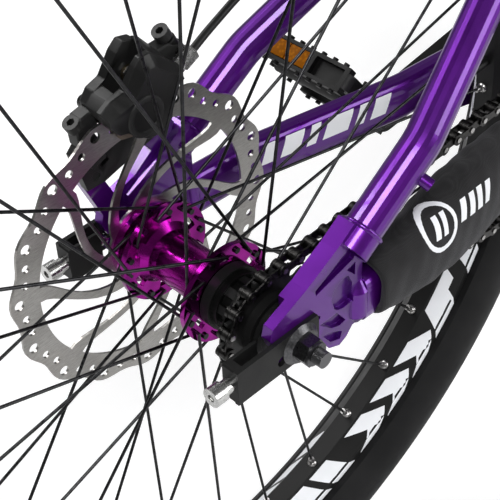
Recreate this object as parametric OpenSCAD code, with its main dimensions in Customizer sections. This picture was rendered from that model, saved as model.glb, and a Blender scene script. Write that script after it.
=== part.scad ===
// BMX bike with disc brakes, 26 inch wheels and a single-speed chain drive.
// Millimetres. +X forward, +Y left, +Z up. The origin is on the ground, half way
// between the axles. The drive side is -Y. The rear end follows the photograph.

/* [Wheels] */
// distance between the axles
wheelbase = 1090; // [1070:1:1110]
// outer radius of the rim flange
rim_r = 287; // [283:0.5:290]
// outer width of the rim
rim_w = 36; // [33:0.5:38]
// depth of the V section from its flange to the spoke bed
rim_depth = 21; // [18:0.5:24]
// width of the flat spoke bed
bed_w = 13.6; // [12:0.2:16]
// width of the tyre, which is round in section
tyre_w = 68; // [62:0.5:69]
// how far the tyre's centre lies outside the rim flange
tyre_seat = 25; // [22:0.5:26]
// wall of the tyre
tyre_wall = 3; // [2:0.25:4]
// spokes in each wheel
spoke_n = 36; // [36]
// radius of a spoke
spoke_r = 1; // [0.9:0.05:1.15]
// radius of a nipple
nipple_r = 2.2; // [2:0.05:2.5]
// length of a nipple
nipple_l = 14; // [12:0.5:16]

/* [Hubs] */
// radius of the hub flanges
flange_r = 32.8; // [32:0.1:35]
// thickness of a hub flange
flange_t = 3.4; // [3:0.1:4]
// radius of the spoke hole circle
hole_ring_r = 28.6; // [28:0.1:29]
// radius of the hub barrel
barrel_r = 16; // [15.5:0.25:18]
// inner face of the rear left flange
flange_left_y = 34.6; // [33:0.2:36]
// inner face of the rear right flange
flange_right_y = 14.2; // [13:0.2:16]
// inner face of the front flanges
flange_front_y = 27; // [25:0.2:28]
// radius of both solid axles
axle_r = 5; // [4.7:0.1:5.2]
// running clearance on pins and axles
run = 0.05; // [0.02:0.01:0.08]
// width between the rear dropouts
rear_old = 135; // [134:0.5:137]
// width between the fork dropouts
front_old = 110; // [109:0.5:112]

/* [Brakes] */
// outer radius of the disc rotors
rotor_r = 101.5; // [100:0.25:103]
// thickness of a rotor
rotor_t = 1.8; // [1.7:0.05:2]
// inner face of the rear rotor
rotor_y = 52; // [51:0.2:53]
// inner radius of the braking ring
track_r = 81; // [79:0.5:83]
// radius of the six-bolt circle
rotor_bolt_ring = 22; // [21.5:0.1:22.5]
// free gap between a pad and the rotor
pad_gap = 0.45; // [0.4:0.05:0.6]
// thickness of a pad with its back plate
pad_t = 4; // [3.5:0.1:4.5]
// travel of a pad at full lever
pad_travel = 0.4; // [0.3:0.05:0.4]
// radius of a brake hose
hose_r = 2.5; // [2.3:0.1:2.8]

/* [Drive] */
// teeth on the chainring
ring_teeth = 36; // [36]
// teeth on the cog
cog_teeth = 16; // [16]
// links in the chain
chain_links = 92; // [92]
// distance of the chain from the middle of the bike
chain_line = 51; // [50.5:0.1:51.5]
// thickness of the teeth
tooth_t = 2.4; // [2:0.1:2.6]
// length of a crank arm
crank_l = 172; // [168:1:175]
// angle of the left crank arm above the horizontal at rest, pointing back
crank_rest = -7.4; // [-10:0.2:10]
// how far the rear end of each pedal is tipped up at rest
pedal_rest = 52; // [0:1:55]
// thickness of a crank arm
crank_t = 15; // [13:0.5:16]
// radius of the crank spindle
spindle_r = 9.5; // [9:0.1:10]
// width of a pedal along its axle
pedal_w = 92; // [86:1:96]
// length of a pedal
pedal_l = 84; // [74:1:90]
// height of a pedal
pedal_h = 20; // [18:0.5:24]

/* [Frame] */
// how far the bottom bracket lies below the axles
bb_drop = 22; // [18:0.5:26]
// seat tube angle
seat_angle = 71; // [70:0.25:72]
// head tube angle
head_angle = 74; // [73.5:0.25:74.5]
// length of the seat tube above the bottom bracket
seat_tube_l = 300; // [290:1:310]
// length of the head tube
head_tube_l = 115; // [112:1:120]
// radius of the head tube
head_r = 22.5; // [22:0.25:24]
// radius of the down tube
down_r = 21; // [19:0.25:22]
// radius of the top tube
top_r = 17; // [16:0.25:18]
// radius of the seat tube
seat_r = 15.9; // [15.5:0.1:16.5]
// wall of the frame tubes
tube_wall = 2; // [1.6:0.1:2.5]
// radius of the seat stays
stay_r = 11.5; // [10.5:0.1:12]
// width of the chainstays
chainstay_w = 17; // [15:0.25:18]
// height of the chainstays
chainstay_h = 33; // [30:0.5:35]
// length of the bottom bracket shell
shell_w = 73; // [72:0.5:74]
// radius of the bottom bracket shell
shell_r = 24; // [23:0.25:25]
// thickness of the dropout plates
dropout_t = 7; // [6:0.25:7.5]
// width of the thick top edge of the dropouts
dropout_rib = 11.7; // [10:0.1:12]

/* [Steering] */
// fork offset from the steering axis to the front axle
fork_rake = 34; // [30:0.5:38]
// distance of the fork legs from the middle
leg_y = 60; // [59:0.25:62]
// radius of the steerer
steerer_r = 14.3; // [14.2:0.05:14.4]
// room above the tyre under the crown
crown_room = 11; // [9:0.5:20]
// radius of the handlebar tube
bar_r = 11.1; // [11:0.05:11.2]
// width of the handlebar
bar_w = 730; // [700:5:760]
// rise of the handlebar
bar_rise = 200; // [190:1:210]
// length of a grip
grip_l = 135; // [125:1:140]
// radius of a grip
grip_r = 16; // [15:0.25:17]

/* [Seat] */
// radius of the seatpost
post_r = 13.6; // [13.5:0.05:13.65]
// length of the seatpost above the seat tube
post_up = 95; // [75:1:120]
// length of the saddle
saddle_l = 245; // [235:1:260]
// width of the saddle
saddle_w = 128; // [120:1:140]

/* [Hidden] */
$fn = 48;
pitch = 12.7;
eps = 0.01;
seat = 0.02;      // gap between two pieces of one body that touch
gap = 0.35;       // gap between pieces of two bodies
tyre_c = rim_r + tyre_seat;
wheel_r = tyre_c + tyre_w / 2;
function pitch_r(n) = pitch / (2 * sin(180 / n));
ring_r = pitch_r(ring_teeth);
cog_r = pitch_r(cog_teeth);
// centre distance that this many links reach, by repeated correction
function wrap(c) = asin((ring_r - cog_r) / c);
function reach(c) = pitch * (chain_links - (180 + 2 * wrap(c)) * ring_teeth / 360
    - (180 - 2 * wrap(c)) * cog_teeth / 360) / (2 * cos(wrap(c)));
centres = reach(reach(reach(reach(reach(400)))));
stay_x = sqrt(centres * centres - bb_drop * bb_drop);
rear = [-wheelbase / 2, 0, wheel_r];
front = [wheelbase / 2, 0, wheel_r];
// points below are measured from the rear axle
bb = [stay_x, 0, -bb_drop];
seat_dir = [-cos(seat_angle), 0, sin(seat_angle)];
steer_dir = [-cos(head_angle), 0, sin(head_angle)];
steer_fwd = [sin(head_angle), 0, cos(head_angle)];
steer_base = [wheelbase, 0, 0] - fork_rake * steer_fwd;
crown_s = wheel_r + crown_room;
crown_h = 30;
cup_h = 12;
head_s = crown_s + crown_h + cup_h;
head_top_s = head_s + head_tube_l;
stem_s = head_top_s + cup_h + 3;
stem_h = 42;
function steer(s, f = 0, y = 0) = steer_base + s * steer_dir + f * steer_fwd + [0, y, 0];
function up_seat(t) = bb + t * seat_dir;
drop_in = rear_old / 2;
drop_mid = drop_in + dropout_t / 2;
drop_out = drop_in + dropout_t;
fork_in = front_old / 2;
plate_t = 6;
// chainstay route in plan, from the dropout to the bottom bracket
cs_start = 44;
cs_bend = 95;
cs_waist = 235;
cs_waist_y = 49.5;
cs_yoke = 286;
cs_yoke_y = tyre_w / 2 + chainstay_w / 2 + 5.2;
cs_slope = atan2(-bb_drop, stay_x);
// seat stay route
ss_foot = [56, drop_mid + 1, 45];
ss_in = [106, drop_mid, 78];
ss_run = [188, 50, 129];
ss_turn = [272, 50, 184];
ss_top_t = 252;

function unit(v) = v / norm(v);
function bend_a(p, i) = acos(unit(p[i] - p[i - 1]) * unit(p[i + 1] - p[i]));
function bend_l(p, i, br) = (i <= 0 || i >= len(p) - 1) ? 0 : br * tan(bend_a(p, i) / 2);

module at_rear() translate(rear) children();
module at_front() translate(front) children();
// a piece made along +Z is laid along +Y, its own +X staying forward
module along_y() rotate([-90, 0, 0]) children();
// an outline drawn as [x, z] becomes a plate from y0 to y1
module plate(y0, y1) translate([0, y1, 0]) rotate([90, 0, 0]) linear_extrude(y1 - y0) children();
module both() { children(); mirror([0, 1, 0]) children(); }
module disc(r, y0, y1) along_y() translate([0, 0, y0]) cylinder(r = r, h = y1 - y0);
module spin(n, a0 = 0) for (i = [0 : n - 1]) rotate([0, -(a0 + i * 360 / n), 0]) children();

module rod(a, b, r, r2 = 0) {
    v = b - a;
    translate(a) rotate([0, acos(v.z / norm(v)), atan2(v.y, v.x)])
        cylinder(h = norm(v), r1 = r, r2 = r2 > 0 ? r2 : r);
}

// local frame with z along u and x along m
module frame_at(c, m, u, n) multmatrix([[m.x, u.x, n.x, c.x], [m.y, u.y, n.y, c.y],
    [m.z, u.z, n.z, c.z], [0, 0, 0, 1]]) children();

// points along a tube's route, each corner rounded to the radius br in m steps
function bend_pts(p, br, m) = concat([p[0]], [for (i = [1 : 1 : len(p) - 2])
    let (u = unit(p[i] - p[i - 1]), n = unit(cross(u, unit(p[i + 1] - p[i]))), c = cross(n, u),
        o = p[i] - u * bend_l(p, i, br) + c * br, w = bend_a(p, i))
    for (k = [0 : m]) o + br * (sin(w * k / m) * u - cos(w * k / m) * c)], [p[len(p) - 1]]);
// round tube through the points p, each corner bent to the radius br
module bent(p, r, br, n = 24, m = 6) sweep(bend_pts(p, br, m), r, n);

// plate of height h with round ends at a and b and straight sides
module link(h, a, ra, b, rb) {
    v = b - a; t = atan2(v.y, v.x); k = acos((ra - rb) / norm(v));
    qa = ra - 0.02; qb = rb - 0.02;
    translate(a) cylinder(r = ra, h = h);
    translate(b) cylinder(r = rb, h = h);
    linear_extrude(h) polygon([a + qa * [cos(t + k), sin(t + k)], b + qb * [cos(t + k), sin(t + k)],
        b + qb * [cos(t - k), sin(t - k)], a + qa * [cos(t - k), sin(t - k)]]);
}
// the same between y0 and y1, with a and b as [x, z]
module link_y(y0, y1, a, ra, b, rb) translate([0, y1, 0]) rotate([90, 0, 0]) link(y1 - y0, a, ra, b, rb);

module round_rect(w, h, r) {
    square([w - 2 * r, h], center = true);
    square([w, h - 2 * r], center = true);
    for (x = [-1, 1], y = [-1, 1]) translate([x * (w / 2 - r), y * (h / 2 - r)]) circle(r);
}

// tube of one polyhedron swept along hand-set points, for the hoses
module sweep(p, r, n = 8) {
    k = len(p);
    function tan_at(i) = unit(p[min(i + 1, k - 1)] - p[max(i - 1, 0)]);
    function side(i) = i == 0 ? unit(cross(tan_at(0), [0.31, 0.85, 0.42]))
        : unit(cross(cross(tan_at(i), side(i - 1)), tan_at(i)));
    pts = [for (i = [0 : k - 1]) let (t = tan_at(i), s = side(i), q = cross(s, t))
        for (j = [0 : n - 1]) p[i] + r * (cos(j * 360 / n) * s + sin(j * 360 / n) * q)];
    polyhedron(pts, concat([[for (j = [0 : n - 1]) n - 1 - j]],
        [for (i = [0 : k - 2], j = [0 : n - 1])
            [i * n + j, i * n + (j + 1) % n, (i + 1) * n + (j + 1) % n, (i + 1) * n + j]],
        [[for (j = [0 : n - 1]) (k - 1) * n + j]]), convexity = 6);
}
// smooth route through the points, m steps in each span
function smooth(p, m) = [for (i = [0 : len(p) - 2], s = [0 : m - 1])
    let (a = p[max(i - 1, 0)], b = p[i], c = p[i + 1], d = p[min(i + 2, len(p) - 1)], t = s / m)
    0.5 * (2 * b + (c - a) * t + (2 * a - 5 * b + 4 * c - d) * t * t
    + (3 * b - a - 3 * c + d) * t * t * t), p[len(p) - 1]];

// ---------------------------------------------------------------- wheels
module rim_section() {
    w = rim_w / 2; wall = 2; b = rim_r - rim_depth;
    polygon([[b, -bed_w / 2], [b, bed_w / 2], [rim_r - 7, w], [rim_r, w], [rim_r, w - wall],
        [rim_r - 6, w - wall], [rim_r - 8, w - 8], [b + 9, 6], [b + 9, -6], [rim_r - 8, 8 - w],
        [rim_r - 6, wall - w], [rim_r, wall - w], [rim_r, -w], [rim_r - 7, -w]]);
}
module ring(r) along_y() rotate_extrude($fn = 180) translate([tyre_c, 0]) circle(r);
module tyre() {
    bead = rim_w / 2 - 2 - seat;
    difference() {
        union() {
            difference() {
                ring(tyre_w / 2);
                disc(rim_r + seat, -tyre_w, tyre_w, $fn = 180);
            }
            difference() {
                disc(rim_r + 6, -bead, bead, $fn = 180);
                disc(rim_r - 5.9, -bead - 1, bead + 1, $fn = 180);
            }
        }
        difference() {
            ring(tyre_w / 2 - tyre_wall);
            disc(rim_r + 3.5, -tyre_w, tyre_w, $fn = 180);
        }
        disc(rim_r + 4, -bead + 3.5, bead - 3.5, $fn = 180);
    }
}

// one spoke for each nipple: right side on even places, left side on odd ones
cross_a = 3 * 720 / spoke_n;
function nip_a(i) = i * 360 / spoke_n;
function on_left(i) = i % 2 == 0;
function trailing(i) = floor(i / 2) % 2 == 0;
function polar(r, a, y) = [r * cos(a), y, r * sin(a)];
// yl and yr are the inner faces of the flanges
function hub_a(i) = nip_a(i) + (trailing(i) ? cross_a : -cross_a);
function face_y(i, yl, yr) = on_left(i) ? (trailing(i) ? yl - spoke_r - 0.2 : yl + flange_t + spoke_r + 1.4)
    : -(trailing(i) ? yr - spoke_r - 0.2 : yr + flange_t + spoke_r + 1.4);
function head_y(i, yl, yr) = on_left(i) ? (trailing(i) ? yl + flange_t : yl)
    : -(trailing(i) ? yr + flange_t : yr);
function spoke_in(i, yl, yr) = polar(hole_ring_r, hub_a(i), face_y(i, yl, yr));
function spoke_out(i) = polar(rim_r - rim_depth + 4, nip_a(i), on_left(i) ? 1.2 : -1.2);

module spoke(a, b, h) {
    out = sign(h - a.y);
    rod(a, b, spoke_r, $fn = 16);
    rod([a.x, a.y - out * spoke_r, a.z], [a.x, h + out, a.z], spoke_r + 0.06, $fn = 16);
    rod([a.x, h + out * seat, a.z], [a.x, h + out * 1.4, a.z], spoke_r * 2, $fn = 16);
}
module spokes_of(yl, yr) for (i = [0 : spoke_n - 1])
    spoke(spoke_in(i, yl, yr), spoke_out(i), head_y(i, yl, yr));
module nipples_of(yl, yr) for (i = [0 : spoke_n - 1]) {
    a = spoke_in(i, yl, yr); b = spoke_out(i); u = unit(b - a);
    difference() {
        rod(b - u * (nipple_l - 4), b + u * 4, nipple_r, $fn = 16);
        rod(b - u * nipple_l, b + u * 0.1, spoke_r + seat, $fn = 16);
    }
}
module rim_of(yl, yr) difference() {
    along_y() rotate_extrude($fn = 180) rim_section();
    for (i = [0 : spoke_n - 1]) {
        a = spoke_in(i, yl, yr); b = spoke_out(i); u = unit(b - a);
        rod(b - u * 9, b + u * 8, nipple_r + 0.1, $fn = 16);
    }
    rotate([0, -5, 0]) rod([rim_r - rim_depth - 4, 0, 0], [rim_r, 0, 0], 3 + seat, $fn = 24);
}
module valve_of() rotate([0, -5, 0]) {
    rod([rim_r - rim_depth - 24, 0, 0], [rim_r - 4, 0, 0], 3, $fn = 24);
    rod([rim_r - rim_depth - 27, 0, 0], [rim_r - rim_depth - 24, 0, 0], 3.9, $fn = 24);
}

// ---------------------------------------------------------------- hubs
module hub_flange(y0) difference() {
    disc(flange_r, y0, y0 + flange_t);
    spin(6, 30) rotate([0, 12, 0]) plate(y0 - 1, y0 + flange_t + 1)
        intersection() {
            difference() { circle(25.2); circle(20.4); }
            polygon([[0, 0], [40, -3], [40, 14.2]]);
        }
}
module spoke_holes(yl, yr) for (i = [0 : spoke_n - 1]) {
    a = polar(hole_ring_r, hub_a(i), 0);
    s = on_left(i) ? yl : -yr - flange_t;
    rod(a + [0, s - 1, 0], a + [0, s + flange_t + 1, 0], spoke_r + 0.12, $fn = 16);
}
// barrel drawn as [radius, y], swelling to each flange
module barrel(y0, y1) along_y() rotate_extrude() polygon([[axle_r + run, y0], [barrel_r + 6, y0],
    [barrel_r + 6, y0 + 2], [barrel_r + 1, y0 + 7], [barrel_r, y0 + 12], [barrel_r, y1 - 12],
    [barrel_r + 1, y1 - 7], [barrel_r + 6, y1 - 2], [barrel_r + 6, y1], [axle_r + run, y1]]);
module rotor_seat(y0, y1) difference() {
    along_y() rotate_extrude() polygon([[axle_r + run, y0], [barrel_r + 6, y0], [barrel_r + 3, y0 + 4],
        [rotor_bolt_ring + 5, y1 - 5], [rotor_bolt_ring + 5, y1], [17 - seat, y1],
        [17 - seat, y1 + rotor_t], [11, y1 + rotor_t + 2.5], [axle_r + run, y1 + rotor_t + 2.5]]);
    spin(6) rod([rotor_bolt_ring, y1 - 6, 0], [rotor_bolt_ring, y1 + 1, 0], 2.6, $fn = 20);
}
module rear_hub_shape() difference() {
    union() {
        barrel(-flange_right_y - flange_t, flange_left_y + flange_t);
        hub_flange(flange_left_y);
        hub_flange(-flange_right_y - flange_t);
        rotor_seat(flange_left_y + flange_t, rotor_y);
    }
    spoke_holes(flange_left_y, flange_right_y);
    disc(9, -10, flange_left_y);
    disc(axle_r + run, -drop_in, drop_in);
}
module front_hub_shape() difference() {
    union() {
        barrel(-flange_front_y - flange_t, flange_front_y + flange_t);
        hub_flange(flange_front_y);
        hub_flange(-flange_front_y - flange_t);
        both() along_y() translate([0, 0, flange_front_y + flange_t]) cylinder(r1 = 17, r2 = 12, h = 14);
    }
    spoke_holes(flange_front_y, flange_front_y);
    disc(9, -22, 22);
    disc(axle_r + run, -fork_in, fork_in);
}

// ---------------------------------------------------------------- rotors
rotor_lobes = 16;
rotor_phase = 129.5;
function lobe_r(a) = rotor_r - 1.9 + 1.9 * cos(rotor_lobes * a);
// one swept arm, from the centre ring out to the braking ring
function arm_turn(r) = 52 * pow(max(0, (track_r - 2 - r) / (track_r - 33)), 1.6);
function arm_pt(r, w) = let (a = arm_turn(r) + w / r * 57.3) [r * cos(a), r * sin(a)];
module rotor(y) difference() {
    union() {
        plate(y, y + rotor_t) rotate(rotor_phase) difference() {
            polygon([for (i = [0 : 2.8125 : 359]) lobe_r(i) * [cos(i), sin(i)]]);
            circle(track_r, $fn = 96);
        }
        difference() {
            disc(29, y, y + rotor_t);
            disc(17, y - 1, y + rotor_t + 1);
        }
        for (k = [0 : 7]) plate(y, y + rotor_t) rotate(rotor_phase + k * 45) polygon(concat(
            [for (r = [27 : 5 : 83]) arm_pt(r, 3.4 + abs(r - 55) / 14)],
            [for (r = [82 : -5 : 27]) arm_pt(r, -3.4 - abs(r - 55) / 14)]));
    }
    for (k = [0 : rotor_lobes - 1]) {
        rotor_hole(y, k, 0, rotor_r - 6.2, 3.4);
        rotor_hole(y, k, 7.7, rotor_r - 9.2, 2.6);
        rotor_hole(y, k, 15, rotor_r - 10.2, 2.6);
    }
    spin(6) rod([rotor_bolt_ring, y - 1, 0], [rotor_bolt_ring, y + rotor_t + 1, 0], 2.6, $fn = 20);
}
module rotor_hole(y, k, a, d, r) rotate([0, -(rotor_phase + k * 360 / rotor_lobes + a), 0])
    rod([d, y - 1, 0], [d, y + rotor_t + 1, 0], r, $fn = 24);
module rotor_bolts(y) spin(6) {
    rod([rotor_bolt_ring, y - 5.5, 0], [rotor_bolt_ring, y + rotor_t + 0.1, 0], 2.5, $fn = 20);
    difference() {
        rod([rotor_bolt_ring, y + rotor_t + seat, 0], [rotor_bolt_ring, y + rotor_t + 2.6, 0], 4.2, $fn = 24);
        rod([rotor_bolt_ring, y + rotor_t + 1.2, 0], [rotor_bolt_ring, y + rotor_t + 3, 0], 2, $fn = 6);
    }
}

// ---------------------------------------------------------------- drive
module sprocket2d(n) {
    r = pitch_r(n);
    difference() {
        union() {
            circle(r - 3.4, $fn = 96);
            for (i = [0 : n - 1]) rotate((i + 0.5) * 360 / n)
                polygon([[r - 6, -4], [r - 1.5, -3], [r + 1.8, -1.7], [r + 4, -0.6], [r + 4, 0.6],
                    [r + 1.8, 1.7], [r - 1.5, 3], [r - 6, 4]]);
        }
        for (i = [0 : n - 1]) rotate(i * 360 / n) translate([r, 0]) circle(4.1, $fn = 24);
    }
}
wrap_a = wrap(centres);
run_l = centres * cos(wrap_a) / pitch;
// position of a chain pin at s pitches from where the chain leaves the cog on top
// wrapping the ring forward and coming back below
axis_a = atan2(-bb_drop, stay_x);
ring_links = (180 + 2 * wrap_a) * ring_teeth / 360;
cog_links = (180 - 2 * wrap_a) * cog_teeth / 360;
function xz(r, a) = [r * cos(a), 0, r * sin(a)];
function pin_at(s) = let (q = s >= chain_links ? s - chain_links : s, a0 = axis_a + 90 + wrap_a)
    q < run_l ? xz(cog_r, a0) + q / run_l * (bb + xz(ring_r, a0) - xz(cog_r, a0))
    : q < run_l + ring_links ? bb + xz(ring_r, a0 - (q - run_l) * 360 / ring_teeth)
    : q < 2 * run_l + ring_links ? let (a1 = axis_a - 90 - wrap_a, f = (q - run_l - ring_links) / run_l)
        bb + xz(ring_r, a1) + f * (xz(cog_r, a1) - bb - xz(ring_r, a1))
    : xz(cog_r, axis_a - 90 - wrap_a - (q - 2 * run_l - ring_links) * 360 / cog_teeth);
// angle of the first pin about the cog and the ring, for the teeth to mesh
cog_phase = axis_a + 90 + wrap_a;
ring_phase = axis_a + 90 + wrap_a - (ceil(run_l) - run_l) * 360 / ring_teeth;

module link_plate(a, b, r, y0, y1, hole) {
    v = b - a;
    plate(y0, y1) difference() {
        union() {
            translate([a.x, a.z]) circle(r, $fn = 20);
            translate([b.x, b.z]) circle(r, $fn = 20);
            translate([(a.x + b.x) / 2, (a.z + b.z) / 2]) rotate(atan2(v.z, v.x))
                square([norm(v), r * 1.35], center = true);
        }
        for (c = [a, b]) translate([c.x, c.z]) circle(hole, $fn = 16);
    }
}
module chain_shape() for (i = [0 : chain_links - 1]) {
    a = pin_at(i); b = pin_at(i + 1);
    y = -chain_line;
    inner = i % 2 == 0;
    for (k = [-1, 1]) {
        y0 = inner ? (k > 0 ? 1.75 : -2.85) : (k > 0 ? 3.1 : -4.2);
        link_plate(a, b, inner ? 4.1 : 3.9, y + y0, y + y0 + 1.1, inner ? 1.9 : 1.8 - eps);
    }
    if (inner) for (c = [a, b]) difference() {
        rod(c + [0, y - 1.75, 0], c + [0, y + 1.75, 0], 3.88, $fn = 16);
        rod(c + [0, y - 3, 0], c + [0, y + 3, 0], 1.9, $fn = 16);
    } else for (c = [a, b]) rod(c + [0, y - 4.9, 0], c + [0, y + 4.9, 0], 1.8, $fn = 16);
}

// ---------------------------------------------------------------- frame
module seat_line(t0, t1, r, r2 = 0) rod(up_seat(t0), up_seat(t1), r, r2);
module steer_line(s0, s1, r, r2 = 0) rod(steer(s0), steer(s1), r, r2);
tt_head = steer(head_s + head_tube_l - 24);
tt_seat = up_seat(seat_tube_l - 38);
dt_head = steer(head_s + 26);
module shell_solid(r) disc(r, -shell_w / 2, shell_w / 2);

module head_tube() color("#5a1fa0") at_rear() difference() {
    steer_line(head_s, head_s + head_tube_l, head_r);
    steer_line(head_s - 1, head_s + head_tube_l + 1, head_r - 4.5);
}
module top_tube() color("#5a1fa0") at_rear() difference() {
    rod(tt_seat, tt_head, top_r);
    steer_line(head_s - 60, head_s + head_tube_l + 60, head_r + seat);
    seat_line(0, seat_tube_l + 60, seat_r + seat);
    rod(tt_seat, tt_head, top_r - tube_wall);
}
module down_tube() color("#5a1fa0") at_rear() difference() {
    rod(bb, dt_head, down_r);
    steer_line(head_s - 60, head_s + head_tube_l + 60, head_r + seat);
    translate(bb) shell_solid(shell_r + seat);
    rod(bb, dt_head, down_r - tube_wall);
}
module seat_tube() color("#5a1fa0") at_rear() difference() {
    seat_line(0, seat_tube_l, seat_r);
    seat_line(shell_r + 6, seat_tube_l + 1, post_r + run);
    translate(bb) shell_solid(shell_r + seat);
    rod(bb, dt_head, down_r + seat);
}
module bottom_bracket() color("#5a1fa0") at_rear() translate(bb) difference() {
    shell_solid(shell_r);
    disc(shell_r - 3.5, -shell_w, shell_w);
}

// route of the right chainstay's tube, then a thin yoke between tyre and chainring
function cs_z(x) = x * tan(cs_slope) - 3 * (1 - x / stay_x);
cs_pts = [for (q = [[cs_start + 10, -drop_mid], [cs_bend, -drop_mid], [cs_waist, -cs_waist_y],
    [cs_yoke + 1, -cs_yoke_y]]) [q.x, q.y, cs_z(q.x)]];
// outline of a flattened tube, w wide and h high, in 24 points
function oval(w, h, q = 0.55) = [for (j = [0 : 23]) let (c = cos(j * 15), s = sin(j * 15))
    [w / 2 * sign(c) * pow(abs(c), q), h / 2 * sign(s) * pow(abs(s), q)]];
module stay_bar(w, h) loft([for (p = bend_pts(cs_pts, 120, 4)) [for (q = oval(w, h)) [p.x, p.y - q.x, p.z + q.y]]]);
module yoke_plan() polygon([[cs_yoke, -cs_yoke_y - chainstay_w / 2], [cs_yoke + 18, -cs_yoke_y - chainstay_w / 2 + 1],
    [ring_x() - 4, 5.6 + gap + 0.6 - chain_line], [ring_x() + 28, 6.6 - chain_line],
    [stay_x - shell_r - 7, 1 - shell_w / 2], [stay_x - 6, 1 - shell_w / 2], [stay_x - 6, -20], [stay_x - 40, -22],
    [wheel_r + 3, -26], [ring_x() - 8, -tyre_w / 2 - 1.2], [cs_yoke + 18, -tyre_w / 2 - 1.6],
    [cs_yoke, -cs_yoke_y + chainstay_w / 2]]);
function ring_x() = stay_x - ring_r - 4.2;
module chainstay() difference() {
    union() {
        stay_bar(chainstay_w, chainstay_h);
        translate([0, 0, cs_z(cs_yoke)]) rotate([0, -cs_slope, 0]) intersection() {
            translate([0, 0, -chainstay_h / 2]) linear_extrude(chainstay_h) yoke_plan();
            translate([cs_yoke, 80, 0]) rotate([90, 0, 0]) linear_extrude(160)
                polygon([[0, -chainstay_h / 2], [0, chainstay_h / 2], [140, 15], [140, -17]]);
        }
    }
    translate(bb) shell_solid(shell_r + seat);
    rod(bb, dt_head, down_r + seat);
    seat_line(0, 80, seat_r + seat);
}
module chainstay_right() color("#5a1fa0") at_rear() chainstay();
module chainstay_left() color("#5a1fa0") at_rear() mirror([0, 1, 0]) chainstay();

ss_pts = [for (q = [ss_foot, ss_in, ss_run, ss_turn]) q];
ss_end = up_seat(ss_top_t) + [0, seat_r - 1, 0];
module seatstay() difference() {
    union() {
        bent(concat(ss_pts, [ss_end]), stay_r, 60);
        children();
    }
    seat_line(0, seat_tube_l + 20, seat_r + seat);
    translate([-200, -200, -200]) cube([900, 200 + seat, 900]);
}
ss_bridge = (ss_turn + 0.55 * (ss_end - ss_turn));
module seatstay_left() color("#5a1fa0") at_rear() seatstay()
    rod([ss_bridge.x, 0, ss_bridge.z], [ss_bridge.x, ss_bridge.y, ss_bridge.z], 7);
module seatstay_right() color("#5a1fa0") at_rear() mirror([0, 1, 0]) seatstay() {
    rod([ss_bridge.x, 0, ss_bridge.z], [ss_bridge.x, ss_bridge.y, ss_bridge.z], 7);
    rod([91, 71.5, 69], [96.6, 86.5, 60.5], 4, $fn = 24);
}

// dropout outline as [x, z] about the axle, slot open to the rear
slot_end = 6;
module dropout_plate() difference() {
    polygon([[-17, 5], [-20.5, 14], [-18.5, 21.5], [8, 33.4], [32, 47], [46, 57], [60, 47], [59, 30], [54, 19],
        [54, -21], [47, -21], [42, -27], [36, -30], [27, -26], [21, -17], [16, -14.5], [-12, -12.5],
        [-17, -9], [-17, -5], [0, 0]]);
    translate([slot_end, 0]) circle(axle_r + 0.2);
    translate([-40, -axle_r - 0.2]) square([40 + slot_end, 2 * axle_r + 0.4]);
    translate([17.6, 5]) circle(1.7, $fn = 24);
}
module pockets() {
    polygon([[15, 27.6], [27, 33.5], [45, 43.5], [50, 38], [46, 31.5], [15.5, 23.8]]);
    polygon([[41, 26], [48, 28], [48, 18]]);
    intersection() { translate([40, 10]) circle(11.5); polygon([[26, 20], [40, 26], [45.5, 14], [45.5, -5], [32, -1]]); }
    polygon([[19, -1.6], [33, -1.6], [41, -12.6], [36, -13.6], [29, -11]]);
    polygon([[22, -13], [26, -12.6], [38, -19.6], [36.5, -25], [28, -21.5]]);
}
ss_dir = unit(ss_in - ss_foot);
// rounded end of the chainstay, in front of the plate
cap_x = cs_start + 10;
cap_end = 7;    // height of the taper at its top and foot
function cap_at(k) = [cap_x - 1.5, drop_mid, cs_z(cap_x) + k * (chainstay_h / 2 - cap_end)];
module stay_cap() difference() {
    union() {
        rod(cap_at(-1), cap_at(1), chainstay_w / 2);
        for (k = [-1, 1]) rod(cap_at(k), cap_at(k) + [0, 0, k * cap_end], chainstay_w / 2, chainstay_w / 2 - 4.5);
    }
    plate(drop_mid - chainstay_w, drop_mid + chainstay_w) translate([cap_x, -chainstay_h]) square(2 * chainstay_h);
}
// left-hand dropout: inner face towards the hub
module dropout_shape() {
    difference() {
        union() {
            plate(drop_in, drop_out) dropout_plate();
            plate(drop_out - dropout_rib, drop_out) polygon([[-2, 22], [-2, 28.9], [8, 33.4], [32, 47], [46, 57],
                [60, 47], [59, 40], [46, 46], [30, 37]]);
            stay_cap();
            rod(ss_foot - 14 * ss_dir, ss_foot - seat * ss_dir, stay_r + 0.6);
        }
        plate(drop_out - 3, drop_out + 8) pockets();
        plate(drop_in - 9, drop_in + 9) polygon([[cs_start + 10, 30], [90, 30], [90, -40], [cs_start + 10, -40]]);
        rod(ss_foot, ss_in, stay_r + seat);
    }
}
module dropout_right() color("#5a1fa0") at_rear() mirror([0, 1, 0]) dropout_shape();
tab_holes = [[-24, 57], [22, 70]];
module dropout_left() color("#5a1fa0") at_rear() difference() {
    union() {
        dropout_shape();
        plate(drop_in, drop_out) difference() {
            polygon([[-17, 17], [-32, 54], [-30, 63], [-22, 65], [12, 77], [24, 78], [31, 72], [42, 58], [36, 46], [8, 30]]);
            polygon([[-8, 31], [-16, 49], [13, 60], [23, 47], [8, 36]]);
        }
    }
    for (h = tab_holes) rod([h.x, drop_in - 1, h.y], [h.x, drop_out + 1, h.y], 3.1, $fn = 24);
    rod(ss_foot, ss_in, stay_r + seat);
}

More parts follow.
